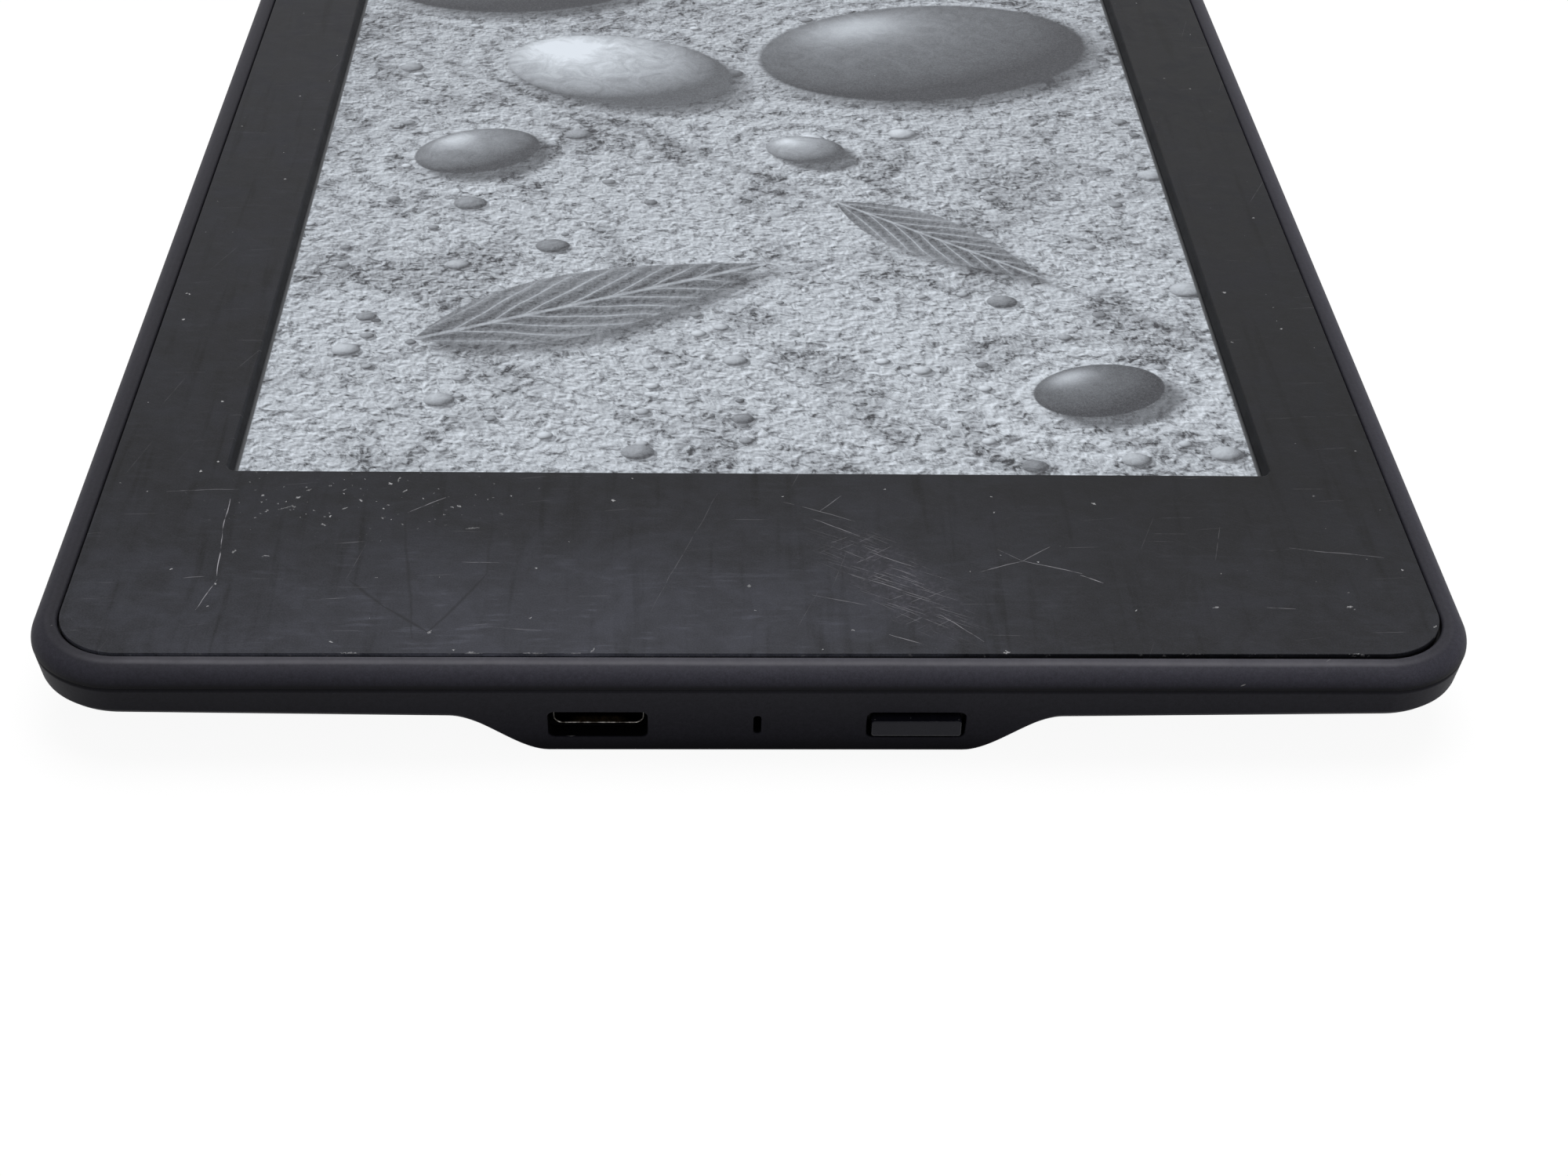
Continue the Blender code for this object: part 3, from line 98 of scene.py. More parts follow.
PILOT_RADIUS = 0.82 * MM
PILOT_DROP = 0.25 * MM
Z_CREASE = Z_TOP - CREASE_DROP
Z_EDGE = Z_TOP - EDGE_DROP
Z_SEAT = Z_TOP - SEAT_DROP
Z_LEDGE = Z_SEAT - LEDGE_THICKNESS

# Front bezel and the screen aperture in it.
SEAM_GAP = 0.2 * MM
SEAM_LEAN = 0.14 * MM
BEZEL_INSET = RIM_WIDTH + SEAM_GAP
BEZEL_THICKNESS = 0.9 * MM
BEZEL_EDGE_RADIUS = 0.07 * MM
APERTURE_EDGE_RADIUS = 0.2 * MM
APERTURE_SLOPE = 0.35 * MM
APERTURE_CORNER_RADIUS = 0.8 * MM
SCREEN_BORDER = 0.65 * MM
CLIP_INSET = 3.45 * MM
CLIP_THICKNESS = 0.7 * MM
CLIP_WIDTH = 8.0 * MM
CLIP_NOSE = 0.5 * MM
CLIP_ROOT = 0.4 * MM
CLIP_GAP = 0.2 * MM
SIDE_CLIPS = (-58.5 * MM, -19.5 * MM, 19.5 * MM, 58.5 * MM)
TOP_CLIPS = (-36.0 * MM, 0.0, 36.0 * MM)
LOWER_CLIPS = (-38.0 * MM, 38.0 * MM)
FILM_SIDE_BORDER = 3.0 * MM
FILM_TOP_BORDER = 3.6 * MM
FILM_LOWER_BORDER = 4.0 * MM
PAGE_HALF_WIDTH = FILM_HIGH.x - FILM_SIDE_BORDER
PAGE_LOW = FILM_LOW.y + FILM_LOWER_BORDER
PAGE_HIGH = FILM_HIGH.y - FILM_TOP_BORDER
PAGE_CENTRE_Y = (PAGE_LOW + PAGE_HIGH) / 2
PAGE_HALF_LENGTH = (PAGE_HIGH - PAGE_LOW) / 2

# Ports along the lower edge.
PORT_WIDTH = 8.0 * MM
PORT_HEIGHT = 2.92 * MM
PORT_CORNER_RADIUS = 0.55 * MM
PORT_EDGE_RADIUS = 0.09 * MM
SLOT_WIDTH = 0.63 * MM
SLOT_HEIGHT = 2.06 * MM
SLOT_CORNER_RADIUS = 0.3 * MM
SOCKET_WALL = 0.25 * MM
SOCKET_CHAMFER = 0.4 * MM
SOCKET_CORNER_RADIUS = 0.65 * MM
SOCKET_LEAST_RADIUS = 0.1 * MM
LIP_FLARE = 0.6 * MM
LIP_ROUND = 0.06 * MM
LIP_DROP = 0.14 * MM
INSERT_BASE = INSERT_HIGH.y - 1.4 * MM
INSERT_GAP = 0.05 * MM
TONGUE_WIDTH = 3.9 * MM
TONGUE_THICKNESS = 0.6 * MM
TONGUE_EDGE_RADIUS = 0.12 * MM
TONGUE_CORNER_RADIUS = 0.16 * MM
TONGUE_ROOT = 0.3 * MM
CONTACT_COUNT = 5
CONTACT_PITCH = 0.65 * MM
CONTACT_WIDTH = 0.36 * MM
CONTACT_THICKNESS = 0.06 * MM
CONTACT_SETBACK = 0.2 * MM
CONTACT_GAP = 0.02 * MM
BUTTON_FACE_WIDTH = 7.24 * MM
BUTTON_EDGE_RADIUS = 0.12 * MM
BUTTON_FLANGE = 0.6 * MM
BUTTON_NUB_LENGTH = 0.6 * MM
BUTTON_NUB_WIDTH = 2.0 * MM

# Steps in the fine surfaces.
CORNER_STEPS = 28
SLOPE_STEPS = 22
TAPER_STEPS = 12
ROLL_STEPS = 22
GROOVE_STEPS = 8
ROUND_STEPS = 4
PORT_STEPS = 8
BUTTON_STEPS = 6
CONTACT_STEPS = 3
SHARP_ANGLE = math.radians(32)

# The photograph's camera: 36 mm wide film, its place, and its turns.
CAMERA_PLACE = Vector((-5.03, -227.65, 126.42)) * MM
CAMERA_LENS = 54.0
CAMERA_SENSOR = 36.0
CAMERA_NEAREST = 10.0 * MM
CAMERA_PITCH = math.radians(37.229)
CAMERA_YAW = math.radians(2.717)
CAMERA_ROLL = math.radians(1.838)


def make_camera():
    cos_pitch = math.cos(CAMERA_PITCH)
    forward = Vector(
        (math.sin(CAMERA_YAW) * cos_pitch, math.cos(CAMERA_YAW) * cos_pitch, -math.sin(CAMERA_PITCH))
    )
    level = Vector((math.cos(CAMERA_YAW), -math.sin(CAMERA_YAW), 0.0))
    upright = level.cross(forward)
    right = level * math.cos(CAMERA_ROLL) + upright * math.sin(CAMERA_ROLL)
    up = right.cross(forward)
    data = bpy.data.cameras.new("photo_camera")
    data.sensor_width = CAMERA_SENSOR
    data.lens = CAMERA_LENS
    data.clip_start = CAMERA_NEAREST
    camera = bpy.data.objects.new("photo_camera", data)
    turn = Matrix((right, up, -forward)).transposed().to_4x4()
    camera.matrix_world = Matrix.Translation(CAMERA_PLACE) @ turn
    bpy.context.scene.collection.objects.link(camera)
    bpy.context.scene.camera = camera


AXES = ((1.0, 0.0, 0.0), (0.0, 1.0, 0.0), (0.0, 0.0, 1.0))


def stepped(operation):
    """A method that takes one step of arithmetic, on places or on numbers, by adding a node."""

    def step(self, *others):
        return self.step(operation, *others)

    return step


class Value:
    """What a node gives: a number, a place or a colour. Arithmetic with it adds nodes to its graph."""

    def __init__(self, graph, socket):
        self.graph = graph
        self.socket = socket
        self.placed = socket.type == "VECTOR"

    def step(self, operation, *others):
        make = self.graph.vector if self.placed else self.graph.math
        return make(operation, self, *others)

    __add__ = stepped("ADD")
    __sub__ = stepped("SUBTRACT")
    __mul__ = stepped("MULTIPLY")
    __truediv__ = stepped("DIVIDE")
    __abs__ = stepped("ABSOLUTE")
    most = stepped("MAXIMUM")
    least = stepped("MINIMUM")
    floor = stepped("FLOOR")
    fraction = stepped("FRACT")
    sine = stepped("SINE")
    scaled = stepped("SCALE")
    dot = stepped("DOT_PRODUCT")
    length = stepped("LENGTH")
    times_plus = stepped("MULTIPLY_ADD")

    def __rsub__(self, other):
        return self.graph.math("SUBTRACT", other, self)

    def clamped(self):
        """The value kept between 0 and 1, by two nodes, which need a smaller stack than a clamp."""
        return self.most(0.0).least(1.0)

    def turned(self, degrees):
        inputs = {"Vector": self, "Angle": math.radians(degrees)}
        return self.graph.made("VectorRotate", inputs, rotation_type="Z_AXIS")

    def towards(self, other, share):
        return self + (other - self) * share

    def span(self, low, high, first=0.0, last=1.0):
        """A smooth step from one number to another, as the value goes from low to high."""
        inputs = dict(enumerate((self, low, high, first, last)))
        return self.graph.made("MapRange", inputs, "Result", interpolation_type="SMOOTHSTEP", clamp=False)

    def beside(self, name):
        """Another output of the same node."""
        return Value(self.graph, self.socket.node.outputs[name])

    def parts(self):
        """The three numbers of a place or of a colour."""
        if self.placed:
            return [self.dot(axis) for axis in AXES]
        first = self.graph.made("SeparateColor", {0: self})
        return [first.beside(number) for number in range(3)]

    def chance(self):
        """Three random numbers for each different number or place."""
        socket, kind = ("Vector", "3D") if self.placed else ("W", "1D")
        return self.graph.made("TexWhiteNoise", {socket: self}, "Color", noise_dimensions=kind).parts()


class Graph:
    """Short calls that add nodes to a node tree."""

    def __init__(self, tree):
        self.nodes = tree.nodes
        self.links = tree.links

    def feed(self, socket, value):
        """Links a socket to a value, or sets it to a constant."""
        if isinstance(value, Value):
            self.links.new(value.socket, socket)
        elif socket.type == "RGBA":
            socket.default_value = (*value, 1.0)
        else:
            socket.default_value = value

    def made(self, kind, inputs, output=0, **settings):
        """One output of a new node, with its settings made and its inputs fed."""
        node = self.nodes.new("ShaderNode" + kind)
        for name, setting in settings.items():
            setattr(node, name, setting)
        for key, value in inputs.items():
            self.feed(node.inputs[key], value)
        return Value(self, node.outputs[output])

    def math(self, operation, *values):
        return self.made("Math", dict(enumerate(values)), operation=operation)

    def vector(self, operation, a, b=None):
        inputs = {0: a}
        if b is not None:
            inputs["Scale" if operation == "SCALE" else 1] = b
        single = operation in ("LENGTH", "DOT_PRODUCT", "DISTANCE")
        return self.made("VectorMath", inputs, "Value" if single else "Vector", operation=operation)

    def joined(self, x, y, z=0.0):
        return self.made("CombineXYZ", {0: x, 1: y, 2: z})

    def blend(self, share, a, b):
        return self.made("Mix", {0: share, 6: a, 7: b}, 2, data_type="RGBA")

    def toned(self, colour, tone):
        """A colour made lighter or darker by a factor."""
        return self.made("CombineColor", {number: tone * level for number, level in enumerate(colour)})


class Finish(Graph):
    """A material on a Principled BSDF. Its patterns take their sizes in millimetres."""

    def __init__(self, name):
        self.material = bpy.data.materials.new(name)
        self.material.use_nodes = True
        super().__init__(self.material.node_tree)
        self.shader = self.nodes["Principled BSDF"]
        self.source = self.made("TexCoord", {}, "Object")
        self.place = self.source.scaled(1 / MM)
        self.point = self.stretched(1.0, 1.0)

    def stretched(self, x, y, z=1.0):
        """The place, multiplied along each axis, in the kind of socket that a pattern takes."""
        return self.made("Mapping", {"Vector": self.source, "Scale": (x / MM, y / MM, z / MM)})

    def noise(self, size, detail=2.0, roughness=0.5, distortion=0.0, place=None, output="Fac"):
        inputs = {"Vector": place or self.point, "Scale": 1 / size}
        inputs.update({"Detail": detail, "Roughness": roughness, "Distortion": distortion})
        return self.made("TexNoise", inputs, output)

    def wobbled(self, size, amount):
        """The place, pushed about in X and Y by a pattern of one size."""
        x, y, _ = self.noise(size, output="Color").parts()
        push = self.joined(x, y) - (0.5, 0.5, 0.0)
        return self.place + push.scaled(amount)

    def cells(self, size, place=None, flat=True):
        """The distance to the nearest point of a cell pattern, in cell sizes."""
        inputs = {"Vector": place or self.point, "Scale": 1 / size}
        return self.made("TexVoronoi", inputs, "Distance", voronoi_dimensions="2D" if flat else "3D")

    def bump(self, height, depth, strength):
        """A bump whose height of 1 stands for a depth in millimetres."""
        inputs = {"Height": height, "Strength": strength, "Distance": depth * MM}
        return self.made("Bump", inputs, "Normal")

    def finish(self, colour, roughness, normal, **constants):
        self.feed(self.shader.inputs["Base Color"], colour)
        self.feed(self.shader.inputs["Roughness"], roughness)
        self.feed(self.shader.inputs["Normal"], normal)
        for name, value in constants.items():
            self.shader.inputs[name.replace("_", " ")].default_value = value
        return self.material


# Scratch fields: the steps between the seeds of rows and of cells, and how many cells a row may shift along.
ROW_STEP = 1.37
CELL_STEP = 61.7
ROW_SHIFT = 7.3


def line_marks(graph, place, marks, width, breakup=1.0):
    """The strength of tapered marks, each from one point to another in millimetres, broken by a pattern."""
    total = None
    for start, end, strength in marks:
        reach = Vector(end) - Vector(start)
        offset = place - start
        along = offset.dot(tuple(reach / reach.length_squared)).clamped()
        apart = offset.step("DISTANCE", graph.vector("SCALE", tuple(reach), along))
        thin = along * (1.0 - along) * (2.8 * width) + 0.3 * width
        line = (1.0 - apart / thin).clamped() * strength
        total = total.most(line) if total else line
    return total * breakup


def scratch_field(graph, degrees, length, pitch, width, density, seed):
    """Many fine scratches that run one way: rows of cells, some of which hold one line each."""
    cosine, sine = math.cos(math.radians(degrees)), math.sin(math.radians(degrees))
    along = graph.place.dot((cosine, sine, 0.0))
    level = graph.place.dot((-sine, cosine, 0.0)) / pitch
    row = level.floor().times_plus(ROW_STEP, seed)
    run = row.chance()[0].times_plus(ROW_SHIFT, along / length)
    kept, offset, slope = run.floor().times_plus(CELL_STEP, row).chance()
    run = run.fraction()
    centre = offset * 0.5 + 0.25 + (run - 0.5) * (slope - 0.5) * 0.45
    apart = abs(level.fraction() - centre)
    line = apart.span(width / pitch, 0.0) * (run * (1.0 - run)).span(0.02, 0.2)
    return line * kept.span(1.0 - density, 1.0)


def scratch_fields(graph, fields):
    """The strongest of several scratch fields at each place."""
    total = None
    for field in fields:
        lines = scratch_field(graph, *field)
        total = total.most(lines) if total else lines
    return total


def dust(graph, size, largest, density, flat=True, place=None):
    """Specks of a few sizes, some cells of a pattern holding one each."""
    cell = graph.cells(size, place, flat)
    apart = cell * size
    kept, radius, _ = cell.beside("Color").parts()
    reach = radius * (0.7 * largest) + 0.3 * largest
    return (apart / reach).span(1.0, 0.55) * kept.span(1.0 - density, 1.0 - density / 3)


def outline_distance(graph, half_x, half_y, radius, centre_y=0.0):
    """How far a place lies inside a round-cornered rectangle, in millimetres, and below 0 outside it."""
    folded = abs(graph.place - (0.0, centre_y, 0.0))
    x, y, _ = (folded - (half_x - radius, half_y - radius, 0.0)).parts()
    outside = graph.joined(x.most(0.0), y.most(0.0)).length()
    return radius - (outside + x.most(y).least(0.0))


def reach_from(graph, centre, fade, turn=0.0):
    """The distance from a centre, multiplied by a fade along each axis, with the axes turned."""
    offset = graph.place - centre
    if turn:
        offset = offset.turned(turn)
    return (offset * fade).length()


# The bezel's top, and the radius of its corners as the wear of its edge follows them, in millimetres.
TOP_MM = Z_TOP / MM
BEZEL_CORNER_MM = 5.5


def on_bezel(*marks):
    """Marks on the bezel's top, in millimetres: start, end and strength."""
    return [((x0, y0, TOP_MM), (x1, y1, TOP_MM), strength) for x0, y0, x1, y1, strength in marks]


BEZEL_SCRATCHES = on_bezel(
    (-45, -61, -44.8, -66, 0.8),
    (-44.8, -66, -44.3, -72, 1),
    (-44.2, -72.5, -45.3, -76.5, 0.7),
    (-50.5, -60, -44.5, -59.5, 0.3),
    (-47, -72.4, -45.3, -72.1, 0.3),
    (-29.7, -62.9, -26.5, -60.7, 0.8),
    (20.5, -68, 22.5, -69.5, 0.4),
    (22.5, -69.5, 27.2, -71.4, 0.6),
    (27, -71.6, 28.8, -72.7, 0.8),
    (25, -67.5, 22.5, -69.6, 0.4),
    (22.5, -69.6, 18.6, -71.2, 0.5),
    (45.6, -67.6, 53.4, -68.9, 0.4),
    (41.9, -75.8, 44.3, -76, 0.35),
    (2.6, -61.1, 8.7, -63.9, 0.35),
    (4.7, -63.4, 9.6, -66.5, 0.45),
    (5.6, -62.5, 7.6, -60.1, 0.35),
    (9.4, -68.1, 13.3, -70.5, 0.4),
    (8, -71.7, 14.3, -74.8, 0.45),
    (10.6, -79.5, 14.4, -81.5, 0.6),
    (14.8, -76.9, 18.2, -80.5, 0.5),
    (4.5, -74.3, 9.1, -75.7, 0.3),
    (-24.4, -70, -21.3, -70.1, 0.3),
    (-8.7, -76.5, -3.1, -59.9, 0.12),
    (-22.2, -78.7, -17.3, -79.2, 0.3),
    (-35.4, -75.1, -33.4, -74.9, 0.25),
    (-35.2, -67.4, -32.1, -67, 0.25),
)
BEZEL_LINT = on_bezel(
    (19.6, -81.9, 20.1, -81.8, 1),
    (19.8, -82.1, 19.9, -81.6, 1),
    (33.5, -82.05, 36, -82.05, 0.5),
    (37.3, -82.05, 41, -82.05, 0.7),
    (43.3, -82.05, 46, -82.05, 0.4),
    (47.2, -82, 49, -82, 1),
    (55.2, -78.5, 55.5, -78.2, 1),
    (-39.4, -60.9, -38.9, -60.6, 1),
    (-23, -82, -22.5, -81.9, 0.7),
    (-13.2, -81.9, -13, -81.4, 0.7),
    (37.5, -75.9, 38, -75.8, 0.9),
    (48.6, -75.8, 49.2, -75.7, 0.9),
    (-38.6, -59.8, -38.2, -59.5, 0.6),
    (-35.5, -59.7, -35.2, -59.5, 0.7),
    (-30.3, -59.9, -30, -59.5, 0.9),
    (-40.6, -62.6, -39.6, -62.1, 0.5),
    (-35.2, -62.5, -34.8, -62.2, 0.7),
    (-24.5, -65.3, -23.4, -65.1, 0.5),
    (-41, -69.3, -40.5, -69.2, 0.8),
    (-43.5, -68.8, -43.3, -68.4, 0.8),
    (-26.4, -79.6, -26.1, -79.2, 0.8),
    (-30.9, -58.3, -30.8, -57.6, 0.7),
    (-33, -82.1, -31.6, -82.1, 0.7),
    (-23.4, -82.1, -21.8, -82.1, 0.6),
    (-18.6, -82.1, -16.8, -82.1, 0.6),
    (-15.4, -82.1, -14.1, -82.1, 0.5),
)
BEZEL_SMEARS = on_bezel(
    (-33.4, -72.5, -30.2, -76.2, 0.8),
    (-30.2, -76.2, -26.3, -79.4, 0.8),
    (-26.3, -79.4, -22.2, -71.6, 0.7),
    (-22.2, -71.6, -22.3, -63, 0.5),
    (-29.9, -63.1, -27.5, -80.3, 0.6),
    (28.5, -74, 33, -79.5, 0.5),
)
# Where the bezel is worn: the middle of each place, how fast its wear fades along each axis, and any turn.
HAZE_CENTRE = (-16, -79, TOP_MM)
HAZE_FADE = (0.026, 0.06, 1)
RUB_CENTRE = (11.5, -72.5, TOP_MM)
RUB_FADE = (0.09, 0.22, 1)
RUB_TURN = 55
NICK_CENTRE = (-34, -61, TOP_MM)
NICK_FADE = (0.06, 0.16, 1)
# Fields of scratches: angle in degrees, length, pitch, width, density and seed.
FINE_SCRATCHES = (
    (-27, 4.2, 0.4, 0.03, 0.55, 1),
    (-36, 2.8, 0.5, 0.03, 0.55, 2),
    (34, 2.2, 0.7, 0.03, 0.24, 5),
)
THIN_SCRATCHES = ((4, 3.4, 1.9, 0.04, 0.16, 3), (71, 6, 3.4, 0.04, 0.08, 4))


def bezel_tone(graph, x, y, grain, smudge):
    """How light the bezel is: clouds, wiped and scuffed patches, dark streaks and grain, and a painted
    reflection, lighter towards the front edge, darker from under the screen up, and darker towards the right.
    """
    broad = graph.noise(26, 3, 0.55)
    wiped = graph.noise(0.5, 3, 0.6, place=graph.stretched(0.14, 1))
    streak = graph.noise(1.1, 2, 0.5, 0.3, place=graph.stretched(1, 0.07))
    hazy = reach_from(graph, HAZE_CENTRE, HAZE_FADE).span(1, 0.1)
    tone = broad * 0.5 + 0.36 + smudge * 0.42 + hazy * 0.55 + (wiped - 0.5) * 0.18
    tone += (graph.noise(1.5, 5, 0.72) - 0.5) * 0.75
    tone += streak.span(0.54, 0.76) * -0.34
    scuffed = wiped.span(0.5, 0.66) * graph.noise(3.2, 3, 0.6).span(0.46, 0.66)
    tone += scuffed * (hazy * 0.6 + 0.25)
    tone += (grain - 0.5) * 1.4
    # Painted reflection: the bezel is painted lighter towards its front edge, darker from under the screen
    # up, and darker towards the right.
    tone *= y.span(-58, -78, 0.66, 1.18)
    return tone * x.span(8, 34, 1, 0.6)


def bezel_lines(graph, wavy, patch):
    """Fine scratches in the rubbed patch, thin ones all over, and the main ones one by one."""
    breakup = graph.noise(1.1, 3).span(0.3, 0.58)
    fine = scratch_fields(graph, FINE_SCRATCHES) * patch
    thin = scratch_fields(graph, THIN_SCRATCHES)
    lines = (fine * 0.55).most(thin * 0.16) * breakup
    return lines.most(line_marks(graph, wavy, BEZEL_SCRATCHES, 0.06, breakup))


def bezel_specks(graph):
    """Nicks under the left of the screen, dust all over, and lint piece by piece."""
    ragged = graph.wobbled(0.2, 0.45)
    nicked = reach_from(graph, NICK_CENTRE, NICK_FADE).span(1, 0.3)
    scraped = ragged.turned(40) * (0.55, 1.2, 1)
    specks = dust(graph, 0.8, 0.08, 0.36, place=scraped)
    specks = specks.most(dust(graph, 1.9, 0.17, 0.24, place=scraped)) * nicked
    specks = specks.most(dust(graph, 2.6, 0.11, 0.12, place=ragged))
    specks = specks.most(dust(graph, 6, 0.2, 0.14, place=ragged))
    return specks.most(line_marks(graph, ragged, BEZEL_LINT, 0.11))


def bezel_plastic():
    """Matte black moulding: fine grain, rubbed and smeared patches, scratches, dust and worn edges, with a
    painted reflection across the top and a painted highlight on the outer edge.
    """
    graph = Finish("bezel_plastic")
    x, y, z = graph.place.parts()
    grain = graph.noise(0.14, 3, 0.65)
    smudge = graph.noise(5.5, 4, 0.62, 0.8).span(0.4, 0.68)
    tone = bezel_tone(graph, x, y, grain, smudge)
    half_x, half_y = (HALF_WIDTH - BEZEL_INSET) / MM, (HALF_LENGTH - BEZEL_INSET) / MM
    rim = outline_distance(graph, half_x, half_y, BEZEL_CORNER_MM).span(1, 0.8)
    # Painted highlight: the outer edge is painted pale below the screen, but not on the right.
    edge = z.span(TOP_MM - 0.04, TOP_MM - 0.08) * rim * (x.span(26, 4) * y.span(-78, -81))
    base = graph.toned((0.018, 0.0187, 0.0236), tone * (edge * 3.2 + 1))
    wavy = graph.wobbled(5, 0.6)
    base = graph.blend(line_marks(graph, wavy, BEZEL_SMEARS, 0.24, 0.8), base, (0.006, 0.006, 0.007))
    # A thumb has rubbed a patch right of the middle.
    patch = reach_from(graph, RUB_CENTRE, RUB_FADE, RUB_TURN).span(1.1, 0.2, 0.04, 1)
    lines = bezel_lines(graph, wavy, patch)
    haze = graph.noise(0.4, 4, 0.75).span(0.46, 0.66) * 0.3 + 0.06
    colour = graph.blend(patch * haze, base, (0.075, 0.07, 0.086))
    colour = graph.blend(lines * 0.85, colour, (0.42, 0.41, 0.44))
    worn = z.span(TOP_MM - 0.01, TOP_MM - 0.06) * rim * graph.noise(0.8, 3, 0.7).span(0.6, 0.72)
    colour = graph.blend(worn * 0.5, colour, (0.24, 0.24, 0.25))
    colour = graph.blend(bezel_specks(graph) * 0.6, colour, (0.45, 0.45, 0.46))
    # The sides of the seam and of the aperture are in the dark.
    colour = graph.blend(z.span(TOP_MM - 0.22, TOP_MM - 0.42), colour, (0.004, 0.004, 0.005))
    roughness = smudge * 0.1 + 0.46 + lines * 0.15
    return graph.finish(colour, roughness, graph.bump(grain, 0.004, 0.6), Specular_IOR_Level=0.1)


def on_cover(*marks):
    """Marks on the cover or the button, in millimetres: start, end and strength."""
    return [(mark[:3], mark[3:6], mark[6]) for mark in marks]


COVER_MARKS = on_cover(
    (-57.2, -77, 8.6, -56.6, -76.9, 8.8, 0.8),
    (-57, -78.9, 8.7, -56.3, -78.5, 9, 1),
    (-56.6, -80, 8.6, -56.2, -79.7, 8.8, 0.6),
    (-57.2, -82.1, 7.9, -56.9, -81.8, 8, 0.6),
    (-24.5, -83.9, 4.4, -20.8, -83.9, 3.4, 0.3),
    (-15.5, -83.45, 1.77, -15, -83.6, 1.77, 0.6),
    (-15.1, -83.6, 1.77, -14.6, -83.5, 1.77, 1),
    (-14.7, -83.55, 1.77, -14.4, -83.1, 1.77, 0.9),
    (-16.7, -83.95, 4.7, -16, -83.97, 4.8, 0.5),
    (38.4, -84.42, 7.8, 38.8, -84.37, 7.95, 0.9),
    (33.4, -83.2, 8.84, 34, -82.5, 8.98, 0.4),
    (45.3, -82.9, 8.93, 45.9, -82.4, 8.99, 0.4),
)
CREASE_MM = Z_CREASE / MM
LAND_MM = LAND_HALF / MM


def cover_dark(x, y, z, seam):
    """How far a place is in the dark: on the seat below the seam, or on the sides of a port opening."""
    sunk = seam.span(2.23, 2.26) * z.span(6, 6.5)
    # On the right, above the corner, the seam gets less painted shade.
    sunk *= x.span(50, 56) * y.span(-74, -66) * -0.9 + 1
    wall = z * -WALL_SLANT + (WALL_SLANT * Z_CREASE - HALF_LENGTH) / MM
    inside = (y - wall).span(0.06, 0.2) * abs(x).span(LAND_MM + 0.15, LAND_MM + 0.05)
    return sunk.most(inside * abs(z - Z_PORT / MM).span(2, 1.8))


def cover_plastic():
    """Soft-touch black coat: fine grain and dust, with painted light: a pale highlight along the roll's
    crest, the roll lighter than the wall, shade at the wall's foot, in the groove and towards the left, and
    sheen on the sides.
    """
    graph = Finish("cover_plastic")
    x, y, z = graph.place.parts()
    seam = outline_distance(graph, HALF_WIDTH / MM, HALF_LENGTH / MM, BODY_CORNER_RADIUS / MM)
    broad = graph.noise(18, 3, 0.55)
    patchy = graph.noise(1.6, 3)
    grain = graph.noise(0.12, 2, 0.6)
    # Painted light: the roll above the crease is painted up to about twice as light as the wall below it, the
    # front wall darker towards the floor, and the cover darker towards the left.
    painted_roll_light = z.span(CREASE_MM - 0.05, CREASE_MM + 0.8, 1, 1.95)
    low = z.span(-0.4, 2.4, 0.1, 1).most(y.span(-83.2, -82))
    side = x.span(-56, -10, 0.66, 0.94)
    tone = broad * 0.36 + 0.82 + (grain - 0.5) * 0.8
    tone += (graph.noise(0.4, 3, 0.75) - 0.5) * 0.9
    tone *= painted_roll_light * low
    tone *= side
    # Painted sheen and shade: on the left and right sides the roll is painted lighter towards its outside and
    # darker towards the seam.
    beside = abs(x).span(47, 56)
    painted_side_sheen_and_shade = beside * seam.span(0.5, 1.9, -0.14, 0.36)
    base = graph.toned((0.0141, 0.0137, 0.0182), tone * (1 - painted_side_sheen_and_shade))
    # Painted highlight: a pale band along the roll's crest, varied by a pattern and weaker on the sides.
    inward = seam + (broad - 0.5) * 0.3
    painted_crest_highlight = inward.span(1.1, 1.42) * inward.span(1.44, 1.8, 1, 0.52) * (patchy * 0.6 + 0.5)
    lower = y.span(-70, -80, 0.45, 1)
    painted_crest_highlight *= lower * (beside * -0.85 + 1)
    base = graph.blend(painted_crest_highlight * 0.74, base, (0.098, 0.096, 0.108))
    # Painted shade: the groove under the roll is painted dark, broken by a pattern.
    soil_and_shade = abs(z - (CREASE_MM - 0.02)).span(0.46, 0.06) * (patchy * 0.5 + 0.5)
    base = graph.blend(soil_and_shade * lower, base, (0.003, 0.003, 0.0035))
    specks = dust(graph, 2.4, 0.09, 0.16, False).most(dust(graph, 6.5, 0.15, 0.1, False))
    marks = line_marks(graph, graph.place, COVER_MARKS, 0.07)
    colour = graph.blend(specks * 0.5, base, (0.3, 0.3, 0.31))
    colour = graph.blend(marks * 0.8, colour, (0.35, 0.35, 0.35))
    colour = graph.blend(cover_dark(x, y, z, seam), colour, (0.002, 0.002, 0.0025))
    graph.feed(graph.shader.inputs["Specular IOR Level"], z.span(1, 8.5, 0.02, 0.08))
    return graph.finish(colour, broad * 0.1 + 0.5, graph.bump(grain, 0.004, 0.5))


